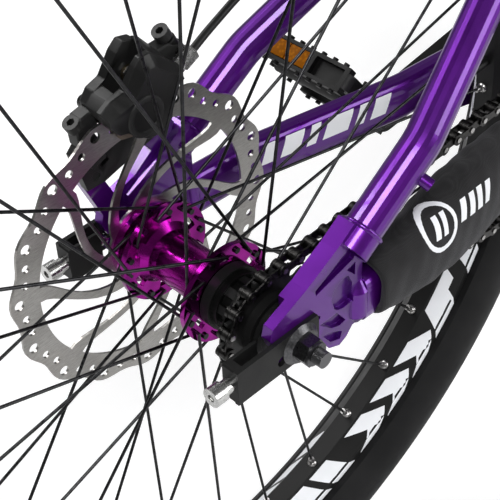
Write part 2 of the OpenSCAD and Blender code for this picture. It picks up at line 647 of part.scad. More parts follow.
// chain tensioner: a U-shaped block over the end of the dropout
tens_h = 12.3;
tens_x = -48.5;
tens_wall = 3;
module tensioner() difference() {
    union() {
        plate(drop_out + seat, drop_out + seat + tens_wall) difference() {
            polygon([[tens_x, -tens_h], [tens_x, tens_h], [14, tens_h], [15, 8], [15, -8], [14, -tens_h]]);
            translate([-14.5, -3]) circle(3.5);
        }
        plate(drop_in - seat - 2, drop_out + seat + 1) polygon([[tens_x, -tens_h + 1], [tens_x, tens_h - 1],
            [tens_x + 1, tens_h], [tens_x + 6, tens_h], [tens_x + 6, -tens_h], [tens_x + 1, -tens_h]]);
        plate(drop_in - seat - 2, drop_in - seat) polygon([[tens_x + 5, -tens_h], [tens_x + 5, tens_h],
            [-24, tens_h], [-24, -tens_h]]);
    }
    disc(axle_r + 0.1, drop_in - 5, drop_out + 9);
    rod([tens_x - 1, drop_mid, 0], [tens_x + 8, drop_mid, 0], 3 + seat, $fn = 24);
}
module tensioners() color("#1c1c1e") at_rear() both() tensioner();
module tensioner_screws() color("#c8c8c8") at_rear() both() {
    rod([-17.2, drop_mid, 0], [tens_x - 5, drop_mid, 0], 3, $fn = 24);
    rod([tens_x - seat, drop_mid, 0], [tens_x - 6, drop_mid, 0], 4.6, $fn = 30);
    difference() {
        rod([tens_x - 6, drop_mid, 0], [tens_x - 14, drop_mid, 0], 6);
        rod([tens_x - 11, drop_mid, 0], [tens_x - 15, drop_mid, 0], 2.6, $fn = 6);
    }
}

// rear axle with its locking collars, then washers and nuts outside the tensioners
axle_out = drop_out + seat + tens_wall;
nut_l = 12.5;
relief = 0.5;
// axle with a relief groove in the mouth of each nut, so its end is a wall of its own
module axle_rod(nut_y, half) {
    disc(axle_r, -nut_y - nut_l + 1, nut_y + nut_l - 1);
    disc(axle_r - relief, -half + 1, half - 1);
    both() disc(axle_r, nut_y + nut_l + seat, half);
}
module rear_axle() color("#28282a") at_rear() {
    axle_rod(axle_out + seat, axle_out + 19);
    disc(9, rotor_y + rotor_t + 2.5 + gap, drop_in - seat);
    disc(9, -drop_in + seat, -drop_in + 5);
}
module axle_nut(y0) difference() {
    union() {
        along_y() translate([0, 0, y0]) cylinder(r1 = 13.5, r2 = 10.5, h = 3.4);
        along_y() translate([0, 0, y0 + 3.4]) cylinder(r = 9.2, h = 7.6, $fn = 6);
        disc(7.4, y0 + 11, y0 + nut_l);
    }
    disc(axle_r + seat, y0 - 1, y0 + 20);
}
module rear_nuts() color("#202022") at_rear() both() axle_nut(axle_out + seat);

// ---------------------------------------------------------------- brakes
// caliper drawn as [x, z] about the axle, sitting on top of the rotor
slot_half = pad_t + pad_gap + 1.2;
cal_in = 10.5;
ear_y = 9.2;
ear_r = 6;
cal_bolts = [[-28, 86], [40, 113]];
function slot_y0(ry) = ry - slot_half;
function slot_y1(ry) = ry + rotor_t + slot_half;
module caliper_outline() difference() {
    union() {
        polygon([[-30, 98], [-35, 106], [-35, 118], [-28, 125], [-8, 127], [2, 137], [14, 137], [24, 128],
            [32, 121], [30, 108], [17, 87], [4, 84], [-8, 84], [-22, 92]]);
    }
    translate([-24, 108]) circle(2.6, $fn = 20);
}
module caliper_shape(ry) difference() {
    union() {
        plate(slot_y0(ry) - cal_in + 3, slot_y1(ry) + cal_in - 3) caliper_outline();
        plate(slot_y0(ry) - cal_in, slot_y0(ry)) intersection() {
            caliper_outline(); translate([-2, 98]) circle(17); }
        plate(slot_y1(ry), slot_y1(ry) + cal_in) intersection() {
            caliper_outline(); translate([-2, 98]) circle(17); }
        // ears for the two mounting bolts
        for (h = cal_bolts) rod([h.x, ry + ear_y, h.y], [h.x - 5.4, ry + ear_y, h.y + 10.6], ear_r, $fn = 32);
        plate(ry + 4, ry + 14) polygon([[28, 112], [44, 117], [40, 124], [24, 128]]);
        plate(ry + 4, ry + 14) polygon([[-36, 92], [-26, 93], [-22, 108], [-36, 104]]);
    }
    disc(rotor_r + 2.5, slot_y0(ry), slot_y1(ry));
    // opening over the pads
    plate(slot_y0(ry), slot_y1(ry)) polygon([[-15, 70], [-15, 140], [11, 140], [11, 70]]);
    for (h = cal_bolts) rod([h.x + 6, ry + ear_y, h.y - 11.8], [h.x - 12, ry + ear_y, h.y + 23.6], 3 + seat, $fn = 24);
    for (h = cal_bolts) rod([h.x - 5.4, ry + ear_y, h.y + 10.6], [h.x - 12.6, ry + ear_y, h.y + 24.7], 5.8, $fn = 24);
}
// the adapter between the frame's tab and the caliper's ears
module bracket_shape(ry, yb) difference() {
    union() {
        plate(yb - 6, yb) difference() {
            polygon([[-31, 50], [-38, 78], [-32, 84], [-21, 82], [-12, 74], [4, 76], [20, 82], [32, 102], [46, 100],
                [38, 80], [29, 63], [-18, 50]]);
        }
        for (h = cal_bolts) rod([h.x + 0.2, ry + ear_y, h.y - 0.4], [h.x + 5, ry + ear_y, h.y - 9.8], ear_r, $fn = 32);
        plate(ry + ear_y - 4, yb - 3) polygon([[-32, 79], [-22, 82], [-18, 70], [-28, 66]]);
        plate(ry + ear_y - 4, yb - 3) polygon([[34, 107], [46, 106], [40, 92], [32, 95]]);
    }
    for (h = cal_bolts) rod([h.x + 12, ry + ear_y, h.y - 23.6], [h.x - 1, ry + ear_y, h.y + 2], 3 + seat, $fn = 24);
    for (h = tab_holes) rod([h.x, yb - 9, h.y], [h.x, yb + 1, h.y], 3 + seat, $fn = 24);
}
module brake_bolts(ry, yb) {
    for (h = cal_bolts) {
        rod([h.x + 4.5, ry + ear_y, h.y - 8.8], [h.x - 5.4, ry + ear_y, h.y + 10.7], 3, $fn = 24);
        difference() {
            rod([h.x - 5.4 - seat, ry + ear_y, h.y + 10.6 + seat], [h.x - 8.2, ry + ear_y, h.y + 16], 5.2, $fn = 24);
            rod([h.x - 6.6, ry + ear_y, h.y + 13], [h.x - 10, ry + ear_y, h.y + 19.6], 2.5, $fn = 6);
        }
    }
    for (h = tab_holes) {
        rod([h.x, yb - 5, h.y], [h.x, yb + dropout_t + 1, h.y], 3, $fn = 24);
        difference() {
            rod([h.x, yb + dropout_t + seat, h.y], [h.x, yb + dropout_t + 5, h.y], 5, $fn = 24);
            rod([h.x, yb + dropout_t + 2.5, h.y], [h.x, yb + dropout_t + 6, h.y], 2.5, $fn = 6);
        }
    }
}
module pad_shape() difference() {
    polygon([[-13, 84], [-14, 99], [-6, 101], [-5, 108], [1, 108], [2, 101], [10, 99], [9, 84], [-2, 81.5]]);
    translate([-2, 104.5]) circle(1.6, $fn = 20);
}
module pad_in(ry) plate(ry - pad_gap - pad_t, ry - pad_gap) pad_shape();
module pad_out(ry) plate(ry + rotor_t + pad_gap, ry + rotor_t + pad_gap + pad_t) pad_shape();

// ---------------------------------------------------------------- bearings, clamp and sleeve
module bearing_cups() color("#161618") at_rear() {
    for (k = [0, 1]) difference() {
        union() {
            s = k == 0 ? head_s : head_s + head_tube_l;
            steer_line(k == 0 ? s - cup_h + 0.5 : s + seat, k == 0 ? s - seat : s + cup_h - 0.5, head_r - 0.5);
            steer_line(k == 0 ? s - 1 : s - 14, k == 0 ? s + 14 : s + 1, head_r - 4.5 - seat);
        }
        steer_line(head_s - 60, head_s + head_tube_l + 60, steerer_r + run);
    }
    translate(bb) both() difference() {
        union() {
            disc(shell_r - 3.5 - seat, 24, shell_w / 2 + 1);
            disc(shell_r - 1, shell_w / 2 + seat, shell_w / 2 + 3);
        }
        disc(spindle_r + run, 10, 60);
    }
}
module seat_clamp() color("#161618") at_rear() difference() {
    union() {
        seat_line(seat_tube_l - 16, seat_tube_l - 1, seat_r + 4);
        translate(up_seat(seat_tube_l - 8.5)) rotate([0, seat_angle - 90, 0]) translate([-26, -8, -6.5]) cube([14, 16, 13]);
    }
    seat_line(seat_tube_l - 40, seat_tube_l + 40, seat_r + seat);
    translate(up_seat(seat_tube_l - 8.5)) rotate([0, seat_angle - 90, 0]) {
        translate([-40, -1, -20]) cube([30, 2, 40]);
        rod([-21, -20, 0], [-21, 20, 0], 2.5, $fn = 20);
    }
}
// skin through a list of rings that each hold the same number of points
module loft(rings) {
    k = len(rings); n = len(rings[0]);
    polyhedron([for (r = rings, q = r) q], concat([[for (j = [0 : n - 1]) n - 1 - j]],
        [for (i = [0 : k - 2], j = [0 : n - 1])
            [i * n + j, i * n + (j + 1) % n, (i + 1) * n + (j + 1) % n, (i + 1) * n + j]],
        [[for (j = [0 : n - 1]) (k - 1) * n + j]]), convexity = 4);
}
function mix(a, b, t) = a + (b - a) * t;
function ease(t) = t * t * (3 - 2 * t);
sleeve_a = 62;
sleeve_b = 252;
function cs_y(x) = x < cs_bend ? drop_mid : mix(drop_mid, cs_waist_y, min(1, (x - cs_bend) / (cs_waist - cs_bend)));
function cs_mid(x) = (cs_y(x - 18) + 2 * cs_y(x) + cs_y(x + 18)) / 4;
module chainstay_sleeve() color("#222224") at_rear() difference() {
    loft([for (i = [0 : 12]) let (t = i / 12, x = mix(sleeve_a, sleeve_b, t), b = ease(min(1, t * 2.2)),
        hw = mix(15.5, 20, b) - 5.6 * ease(max(0, t * 2 - 1)), hh = mix(21, 30, b), end = (i == 0 || i == 12) ? 0.94 : 1)
        [for (j = [0 : 23]) let (a = j * 15, c = cos(a), s = sin(a), p = 0.8)
            [x, -cs_mid(x) - end * hw * sign(c) * pow(abs(c), p), cs_z(x) + 1 + end * hh * sign(s) * pow(abs(s), p)]]]);
    stay_bar(chainstay_w + 0.2, chainstay_h + 0.2);
}

// ---------------------------------------------------------------- crank and pedals
arm_in = chain_line + 15;
arm_out = arm_in + crank_t;
pedal_pin = 4.5;
// windows in the ends of a pedal: middle from its inner side, width, depth
pedal_windows = [[0.67 * pedal_w, 0.46 * pedal_w, 3], [0.25 * pedal_w, 0.3 * pedal_w, 5]];
pedal_y = arm_out + 2.5;
// frame of one crank arm: x along the arm, side 1 on the left
module on_crank(side) translate(bb) rotate([0, side > 0 ? -(180 - crank_rest) : crank_rest, 0]) children();
// a span of y given for the left side, or mirrored for the right
module span_link(side, y0, y1, a, ra, b, rb) link_y(side > 0 ? y0 : -y1, side > 0 ? y1 : -y0, a, ra, b, rb);
module span_disc(side, r, y0, y1) disc(r, side > 0 ? y0 : -y1, side > 0 ? y1 : -y0);
module crank_arm(side) on_crank(side) difference() {
    union() {
        span_link(side, arm_in, arm_out, [0, 0], 18, [crank_l, 0], 13.5);
        span_disc(side, 19, side > 0 ? shell_w / 2 + 3 + gap : chain_line + tooth_t / 2 + seat, arm_in + 1);
    }
    span_disc(side, spindle_r + seat, 0, arm_out + 9);
    // relief on the outer face, and the eye for the pedal axle
    span_link(side, arm_out - 2.5, arm_out + 2, [34, 0], 8, [crank_l - 32, 0], 6.5);
    translate([crank_l, 0, 0]) span_disc(side, 7 + seat, arm_in - 1, arm_out + 1);
}
module crank_arm_left() color("#1b1b1d") at_rear() crank_arm(1);
module crank_arm_right() color("#1b1b1d") at_rear() crank_arm(-1);
module crank_spindle() color("#3a3a3c") at_rear() translate(bb) {
    spindle_tube();
    both() crank_bolt();
}
module spindle_tube() difference() {
    union() {
        disc(spindle_r, -arm_out - 1, arm_out + 1);
        disc(14, -chain_line + tooth_t / 2 + seat, -shell_w / 2 - 3 - gap);
    }
    disc(spindle_r - 3, -arm_out - 2, arm_out + 2);
}
module crank_bolt() difference() {
    union() {
        disc(spindle_r - 3 - seat, arm_out - 16, arm_out + 2);
        disc(13.5, arm_out + 1 + seat, arm_out + 4.5);
    }
    along_y() translate([0, 0, arm_out - 2]) cylinder(r = 4.6, h = 10, $fn = 6);
}
module pedal_axles() color("#707274") at_rear() for (side = [1, -1]) on_crank(side) translate([crank_l, 0, 0]) {
    span_disc(side, pedal_pin, arm_in, pedal_y + pedal_w - 5);
    span_disc(side, 7, arm_in, arm_out + seat);
    span_disc(side, 8.5, arm_out + seat, pedal_y - gap);
}
module chainring() color("#18181a") at_rear() translate(bb) difference() {
    plate(-chain_line - tooth_t / 2, -chain_line + tooth_t / 2) rotate(ring_phase) sprocket2d(ring_teeth);
    // five windows between wide arms
    for (k = [0 : 4]) rotate([0, -k * 72 - crank_rest, 0]) difference() {
        plate(-chain_line - 3, -chain_line + 3) polygon([[28, -11], [ring_r - 16, -27], [ring_r - 13.5, -14],
            [ring_r - 12.5, 0], [ring_r - 13.5, 14], [ring_r - 16, 27], [28, 11]]);
    }
    disc(spindle_r + seat, -chain_line - 3, -chain_line + 3);
}
module pedal(side) difference() {
    union() {
        difference() {
            translate([0, side * (pedal_y + pedal_w / 2), -pedal_h * 0.3]) linear_extrude(pedal_h * 0.6)
                round_rect(pedal_l, pedal_w, 6);
            for (sx = [-1, 1], k = [0, 1]) translate([sx * (pedal_l / 4 + 3), side * (pedal_y + pedal_w * (0.28 + 0.44 * k)), -20])
                linear_extrude(40) round_rect(pedal_l / 2 - 20, pedal_w * 0.38, 5);
        }
        disc(10.5, side > 0 ? pedal_y : -pedal_y - pedal_w, side > 0 ? pedal_y + pedal_w : -pedal_y);
        // raised ends with grip teeth, front and rear
        for (sx = [-1, 1]) translate([sx * (pedal_l / 2 - 4), side * (pedal_y + pedal_w / 2), 0])
            cube([8, pedal_w - 10, pedal_h], center = true);
        for (sx = [-1, 1], k = [-3 : 3]) translate([sx * (pedal_l / 2 - 4), side * (pedal_y + pedal_w / 2) + k * (pedal_w - 26) / 6, 0])
            cylinder(r = 2.2, h = pedal_h + 5, center = true, $fn = 20);
        for (sx = [-1, 1], k = [-1, 1]) translate([sx * 15, side * (pedal_y + pedal_w / 2) + k * (pedal_w / 2 - 5), 0])
            cylinder(r = 2.2, h = pedal_h + 2, center = true, $fn = 20);
    }
    // a seat for the reflector in the outer half of each end, and a hollow in the inner half
    for (sx = [-1, 1], v = pedal_windows) translate([sx * pedal_l / 2, side * (pedal_y + v[0]), 0])
        cube([2 * v[2], v[1], pedal_h - 6], center = true);
    disc(pedal_pin + run, side > 0 ? pedal_y - 1 : -pedal_y - pedal_w + 3, side > 0 ? pedal_y + pedal_w - 3 : -pedal_y + 1);
}
module pedal_left() color("#1d1d1f") at_rear() on_crank(1) translate([crank_l, 0, 0]) rotate([0, 180 - crank_rest + pedal_rest, 0]) pedal(1);
module pedal_right() color("#1d1d1f") at_rear() on_crank(-1) translate([crank_l, 0, 0]) rotate([0, pedal_rest - crank_rest, 0]) pedal(-1);
module chain() color("#121214") at_rear() chain_shape();

// ---------------------------------------------------------------- freehub
module freehub() color("#18181a") at_rear() difference() {
    union() {
        disc(15.4, -drop_in + 5 + gap, -flange_right_y - flange_t - gap);
        disc(21, -flange_right_y - flange_t - 7, -flange_right_y - flange_t - gap);
        disc(18.5, -flange_right_y - flange_t - 11, -flange_right_y - flange_t - 7);
        spin(9) plate(-58, -flange_right_y - flange_t - 7) translate([15, 0]) square([4.2, 5.6], center = true);
    }
    disc(axle_r + run, -drop_in, 0);
}
module splined(r) difference() {
    circle(r);
    circle(15.4 + seat);
    for (k = [0 : 8]) rotate(k * 40) translate([15, 0]) square([4.3, 5.7], center = true);
}
module cog() color("#161618") at_rear() plate(-chain_line - tooth_t / 2, -chain_line + tooth_t / 2)
    difference() {
        rotate(cog_phase) sprocket2d(cog_teeth);
        circle(15.4 + seat);
        for (k = [0 : 8]) rotate(k * 40) translate([15, 0]) square([4.3, 5.7], center = true);
    }
module cog_spacers() color("#1e1e20") at_rear() {
    plate(-chain_line + tooth_t / 2 + seat, -chain_line + tooth_t / 2 + 7) splined(20.5);
    plate(-chain_line + tooth_t / 2 + 7 + seat, -chain_line + tooth_t / 2 + 13) splined(19.3);
    plate(-chain_line - tooth_t / 2 - 5.5, -chain_line - tooth_t / 2 - seat) splined(20.5);
    difference() {
        disc(19, -drop_in + 5 + gap, -58.9);
        disc(15.4 + seat, -drop_in, -50);
    }
}

// ---------------------------------------------------------------- wheels as nodes
module rear_tyre() color("#141416") at_rear() tyre();
module rear_rim() color("#0c0c0e") at_rear() { rim_of(flange_left_y, flange_right_y); valve_of(); }
module rear_spokes() color("#101012") at_rear() spokes_of(flange_left_y, flange_right_y);
module rear_nipples() color("#c4c6c8") at_rear() nipples_of(flange_left_y, flange_right_y);
module rear_hub() color("#9a1fb0") at_rear() rear_hub_shape();
module rear_rotor() color("#a8a8a6") at_rear() rotor(rotor_y);
module rear_rotor_bolts() color("#202022") at_rear() rotor_bolts(rotor_y);
module front_tyre() color("#141416") at_front() tyre();
module front_rim() color("#0c0c0e") at_front() { rim_of(flange_front_y, flange_front_y); valve_of(); }
module front_spokes() color("#101012") at_front() spokes_of(flange_front_y, flange_front_y);
module front_nipples() color("#c4c6c8") at_front() nipples_of(flange_front_y, flange_front_y);
module front_hub() color("#9a1fb0") at_front() front_hub_shape();

// ---------------------------------------------------------------- fork
leg_top_r = 15.5;
leg_end_r = 11;
leg_end = steer(34, fork_rake - 12, leg_y);
leg_top = steer(crown_s - 4, 6, leg_y);
leg_dir = unit(leg_top - leg_end);
leg_in = crown_h - 8;   // length of leg held in the crown's socket
// the leg's line from a to b, measured from the crown's socket, on the side k
module leg_line(k, a, b, r) rod([leg_top.x, k * leg_y, leg_top.z] + a * leg_dir,
    [leg_top.x, k * leg_y, leg_top.z] + b * leg_dir, r);
module fork_crown() color("#5a1fa0") at_rear() difference() {
    union() {
        steer_line(crown_s + crown_h - 1, stem_s + stem_h, steerer_r);
        steer_line(crown_s, crown_s + crown_h, steerer_r + 5.5, steerer_r + 4);
        translate(steer(crown_s + crown_h / 2 + 2, 3)) rotate([0, head_angle - 90, 0])
            cube([30, 2 * leg_y - 6, crown_h - 8], center = true);
        for (k = [-1, 1]) leg_line(k, 0, leg_in + 5, leg_top_r + 2);
    }
    for (k = [-1, 1]) leg_line(k, -40, leg_in + seat, leg_top_r + seat);
    steer_line(crown_s + crown_h + 20, stem_s + stem_h + 1, steerer_r - 2.4);
}
module fork_plate() {
    y0 = fork_in; y1 = fork_in + plate_t;
    difference() {
        link_y(y0, y1, [0, 0], 14, [leg_end.x - wheelbase, leg_end.z], leg_end_r + 1);
        disc(axle_r + 0.2, y0 - 1, y1 + 1);
        plate(y0 - 1, y1 + 1) rotate(-88) translate([0, -axle_r - 0.1]) square([30, 2 * axle_r + 0.2]);
    }
}
module fork_legs() color("#5a1fa0") at_rear() both() {
    difference() {
        union() {
            rod(leg_end, leg_top, leg_end_r, leg_top_r);
            leg_line(1, 0, leg_in, leg_top_r);
        }
        translate([wheelbase, 0, 0]) plate(fork_in - 20, fork_in + 0.4) square(90, center = true);
    }
    translate([wheelbase, 0, 0]) fork_plate();
}
front_nut_y = fork_in + plate_t;
module front_axle() color("#28282a") at_front() {
    axle_rod(front_nut_y + seat, front_nut_y + 17);
    both() {
        disc(9, flange_front_y + flange_t + 14 + gap, fork_in - seat);
        axle_nut(front_nut_y + seat);
    }
}

// ---------------------------------------------------------------- stem and bar
stem_reach = 52;
bar_c = steer(stem_s + stem_h / 2, stem_reach);
function bar_pt(y, f, u) = bar_c + f * steer_fwd + u * steer_dir + [0, y, 0];
bar_end = bar_pt(bar_w / 2, -38, bar_rise + 10);
bar_top = bar_pt(150, 0, bar_rise);
bar_low = bar_pt(60, 0, 0);
grip_dir = unit(bar_end - bar_top);
grip_fwd = unit(steer_fwd - (steer_fwd * grip_dir) * grip_dir);
grip_up = cross(grip_dir, grip_fwd) * -1;
bar_pts = [bar_end, bar_top, bar_low];
module handlebar() color("#141416") at_rear() {
    bent(concat([for (q = bar_pts) [q.x, -q.y, q.z]], [for (i = [2 : -1 : 0]) bar_pts[i]]), bar_r, 52, 32, 6);
    rod(bar_pt(-116, 0, bar_rise * 0.62), bar_pt(116, 0, bar_rise * 0.62), 8);
}
stem_split = 3;   // the joint of the faceplate lies this far ahead of the bar's middle
module stem_solid() difference() {
    union() {
        steer_line(stem_s, stem_s + stem_h, 19.5);
        translate(steer(stem_s + stem_h / 2, stem_reach / 2)) rotate([0, head_angle - 90, 0])
            cube([stem_reach, 34, stem_h - 8], center = true);
        rod(bar_c - [0, 24, 0], bar_c + [0, 24, 0], 18.5);
        in_stem() for (z = [-1, 1]) translate([-9, -24, z * 18 - 4.5]) cube([22, 48, 9]);
    }
    steer_line(stem_s - 1, stem_s + stem_h + 1, steerer_r + seat);
    rod(bar_c - [0, 60, 0], bar_c + [0, 60, 0], bar_r + seat);
    translate(steer(stem_s + stem_h / 2, -20)) rotate([0, head_angle - 90, 0]) cube([30, 1.6, stem_h + 10], center = true);
    stem_bolt_rods(2.6);
}
module in_stem() translate(bar_c) rotate([0, head_angle - 90, 0]) children();
module stem_bolt_rods(r) in_stem() for (y = [-17, 17], z = [-18, 18]) rod([-8, y, z], [20, y, z], r, $fn = 20);
module stem() color("#18181a") at_rear() difference() {
    stem_solid();
    in_stem() translate([stem_split - 0.6, -40, -40]) cube([60, 80, 80]);
}
module stem_faceplate() color("#18181a") at_rear() intersection() {
    stem_solid();
    in_stem() translate([stem_split + 0.6, -40, -40]) cube([60, 80, 80]);
}
module stem_bolts() color("#707274") at_rear() {
    top_cap();
    stem_bolt_rods(2.5);
    in_stem() for (y = [-17, 17], z = [-18, 18]) difference() {
        rod([13 + seat, y, z], [17.5, y, z], 4.2, $fn = 20);
        rod([15, y, z], [18.5, y, z], 2, $fn = 6);
    }
}
module top_cap() difference() {
    steer_line(stem_s + stem_h + seat, stem_s + stem_h + 4, 18);
    steer_line(stem_s + stem_h + 2, stem_s + stem_h + 6, 4.5);
}
module stem_spacer() color("#161618") at_rear() difference() {
    steer_line(head_top_s + cup_h - 0.5 + gap, stem_s - seat, 18.5);
    steer_line(head_top_s, stem_s + 1, steerer_r + seat);
}
module grip_at(k) mirror([0, k, 0]) translate(bar_end) rotate([0, acos(grip_dir.z), atan2(grip_dir.y, grip_dir.x)]) children();
module grip_shape() rotate_extrude() polygon(concat(
    [[bar_r + seat, 0], [bar_r + seat, -grip_l], [grip_r + 6, -grip_l], [grip_r + 6, -grip_l + 4], [grip_r - 1, -grip_l + 6]],
    [for (i = [0 : 13], q = [[0, 0], [0, 5.2], [-1.2, 6], [-1.2, 8]])
        [grip_r - 0 + q.x, -grip_l + 8 + i * 8.6 + q.y * 0.98]],
    [[grip_r, -3], [grip_r - 1, 4], [0, 4], [0, seat], [bar_r + seat, seat]]));
module grips() color("#141416") at_rear() for (k = [0, 1]) grip_at(k) grip_shape();

// brake lever on the right: x along the grip outwards, y forward, z up, at the clamp
lever_c = bar_end - grip_dir * (grip_l + 24);
lever_pivot = [14, 27];
lever_pin = 3;
module at_lever() mirror([0, 1, 0]) frame_at(lever_c, grip_dir, grip_fwd, grip_up) children();
module lever_pivot_pin() translate([lever_pivot.x, lever_pivot.y, -9]) {
    cylinder(r = lever_pin, h = 18, $fn = 32);
    translate([0, 0, 18 + seat]) cylinder(r = 4.6, h = 1.8, $fn = 32);
}
module brake_master() color("#1a1a1c") at_rear() at_lever() {
    master_body();
    lever_pivot_pin();
}
module master_body() difference() {
    union() {
        rod([-8, 0, 0], [8, 0, 0], bar_r + 5);
        translate([-9, 8, -7]) cube([18, 18, 14]);
        rod([-44, 25, 0], [6, 25, 0], 9);
        rod([-52, 25, 0], [-44, 25, 0], 5.5);
        translate([-40, 17, 0]) cube([34, 16, 15]);
        translate([lever_pivot.x, lever_pivot.y, -9]) cylinder(r = 8, h = 18);
        translate([0, 19, -9]) cube([14, 14, 18]);
    }
    rod([-9, 0, 0], [9, 0, 0], bar_r + seat);
    translate([0, 0, -5.3]) link(10.6, lever_pivot, 9.5, [60, 40], 34);
}
module brake_lever() color("#202022") at_rear() at_lever() difference() {
    translate([0, 0, -4.5]) union() {
        link(9, lever_pivot, 7, [32, 36], 5.5);
        link(9, [32, 36], 5.5, [52, 39], 4.6);
        link(9, [52, 39], 4.6, [96, 50], 4.4);
        translate([98, 50.6, 0]) cylinder(r = 5.6, h = 9);
    }
    translate([lever_pivot.x, lever_pivot.y, -9]) cylinder(r = lever_pin + run, h = 18, $fn = 32);
}

// ---------------------------------------------------------------- seat
post_top = up_seat(seat_tube_l + post_up);
module seatpost() color("#161618") at_rear() {
    seat_line(seat_tube_l - 110, seat_tube_l + post_up, post_r);
    disc_at(post_top, 17, 15);
}
module disc_at(c, r, w) translate(c) disc(r, -w, w);
saddle_rings = 22;
function saddle_half(t) = saddle_w / 2 * (0.27 + 0.73 * ease(min(1, t * 1.25)) ) * sqrt(max(0.001, 1 - pow(abs(2 * t - 1), 7)));
function saddle_top(t) = 24 - 13 * sin(180 * t) + 14 * t * t * t - 8 * pow(1 - t, 6);
function saddle_low(t) = saddle_top(t) - (17 + 20 * t) * sqrt(max(0.02, 1 - pow(abs(2 * t - 1), 8)));
module saddle() color("#18181a") at_rear() translate(post_top + [0, 0, 14.6]) rotate([0, -6, 0]) difference() {
    loft([for (i = [0 : saddle_rings]) let (t = i / saddle_rings, w = saddle_half(t), a = saddle_top(t), b = saddle_low(t))
        [for (j = [0 : 23]) let (q = j * 15, c = cos(q), s = sin(q))
            [saddle_l * (0.56 - t), w * sign(c) * pow(abs(c), 0.75), (a + b) / 2 + (a - b) / 2 * sign(s) * pow(abs(s), 0.6)]]]);
    rotate([0, 6, 0]) translate([0, 0, -14.6]) disc(17 + seat, -15 - seat, 15 + seat);
}

// ---------------------------------------------------------------- brake parts as nodes
module rear_caliper() color("#1c1c1e") at_rear() caliper_shape(rotor_y);
module rear_bracket() color("#161618") at_rear() {
    bracket_shape(rotor_y, drop_in - seat);
    brake_bolts(rotor_y, drop_in - seat);
}
module rear_pad_inner() color("#7a6a4a") at_rear() pad_in(rotor_y);
module rear_pad_outer() color("#7a6a4a") at_rear() pad_out(rotor_y);
// hose from the caliper along the left stay and the top tube to the lever,
// measured from the rear axle
nut_base = [32.5, 48.8, 109.7];
hose_start = [45, 49.4, 115];
hose_pts = [hose_start, [57, 51, 119.5], [70, 52.5, 124], [85, 54.5, 128.5], [100, 55.5, 132.5], [118, 56, 136], [138, 55, 138],
    [158, 53, 140], [180, 51, 144], [200, 50, 155], [220, 50, 168], [240, 50, 181], [260, 50, 194], [274, 47, 203],
    [290, 40, 212], [308, 31, 223], [325, 25, 233], [345, 21, 239], [400, 20, 254], [470, 20, 281], [540, 20, 309],
    [610, 20, 337], [680, 20, 365], [750, 20, 393], [820, 20, 421], [850, 21, 433], [880, 25, 446], [912, 34, 462],
    [944, 42, 488], [972, 44, 524], [992, 38, 566], [1000, 22, 610], [996, -6, 652], [984, -38, 688],
    [966, -70, 712], [946, -100, 726], [932, -126, 731], [926, -145, 733],
    [922.8, -161.6, 732.9]];
module rear_hose() color("#101012") at_rear() sweep(smooth(hose_pts, 2), hose_r, 8);
module hose_fitting() color("#c8cacc") at_rear() {
    u = unit(hose_start - nut_base);
    rod(nut_base + u * 2.5, hose_start - u * gap, 5.4, $fn = 6);
    rod(nut_base + u * 0.5, nut_base + u * 2.6, 4.4, $fn = 24);
}

head_tube();
top_tube();
down_tube();
seat_tube();
bottom_bracket();
chainstay_left();
chainstay_right();
seatstay_left();
seatstay_right();
dropout_left();
dropout_right();
seat_clamp();
bearing_cups();
chainstay_sleeve();
tensioners();
tensioner_screws();
rear_axle();
rear_nuts();
rear_caliper();
rear_bracket();
hose_fitting();
rear_hose();
chain();
rear_tyre();
rear_rim();
rear_spokes();
rear_nipples();
rear_hub();
rear_rotor();
rear_rotor_bolts();
freehub();
cog();
cog_spacers();
front_tyre();
front_rim();
front_spokes();
front_nipples();
front_hub();
fork_crown();
fork_legs();
front_axle();
stem_spacer();
stem();
stem_faceplate();
stem_bolts();
handlebar();
grips();
brake_master();
brake_lever();
crank_arm_left();
crank_arm_right();
crank_spindle();
pedal_axles();
chainring();
pedal_left();
pedal_right();
seatpost();
saddle();
rear_pad_inner();
rear_pad_outer();
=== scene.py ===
"""Looks of the bmx bike: materials, soft parts, trim, light and camera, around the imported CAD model."""

import math

import bmesh
import bpy
from mathutils import Matrix, Vector
from mathutils.bvhtree import BVHTree


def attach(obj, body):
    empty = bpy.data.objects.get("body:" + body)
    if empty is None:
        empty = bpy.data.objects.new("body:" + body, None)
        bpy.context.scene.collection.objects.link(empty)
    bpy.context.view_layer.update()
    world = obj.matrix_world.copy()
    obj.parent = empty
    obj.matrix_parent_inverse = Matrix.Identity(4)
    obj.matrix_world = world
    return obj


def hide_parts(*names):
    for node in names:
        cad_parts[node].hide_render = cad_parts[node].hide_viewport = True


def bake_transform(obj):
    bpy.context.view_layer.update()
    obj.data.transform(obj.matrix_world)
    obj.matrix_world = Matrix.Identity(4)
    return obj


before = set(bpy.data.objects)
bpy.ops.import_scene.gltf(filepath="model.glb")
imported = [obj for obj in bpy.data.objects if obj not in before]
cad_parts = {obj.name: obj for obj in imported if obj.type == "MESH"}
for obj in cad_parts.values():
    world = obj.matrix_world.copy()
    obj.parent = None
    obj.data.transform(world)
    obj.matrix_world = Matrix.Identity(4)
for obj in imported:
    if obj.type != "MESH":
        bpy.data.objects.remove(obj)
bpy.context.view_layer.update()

MM = 0.001
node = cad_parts

# where the wheels' axles are, in metres
REAR = Vector((-0.545, 0, 0.346))
FRONT = Vector((0.545, 0, 0.346))


def at(x, y, z):
    """A point measured in mm from the rear axle."""
    return REAR + Vector((x, y, z)) * MM


# ------------------------------------------------------------------ image points and camera
POINTS = {
    "rear_axle": (205.0, 278.4),
    "axle_tip": (326.6, 361.0),
    "reflector": (288.0, 55.0),
    "sleeve_badge": (441.0, 226.0),
    "stay_stripe": (330.0, 128.0),
    "pad_spring": (131.0, 76.0),
    "tensioner_knob": (218.0, 392.0),
    "hose_nut": (188.0, 54.0),
    "caliper_bolt": (165.0, 38.0),
}

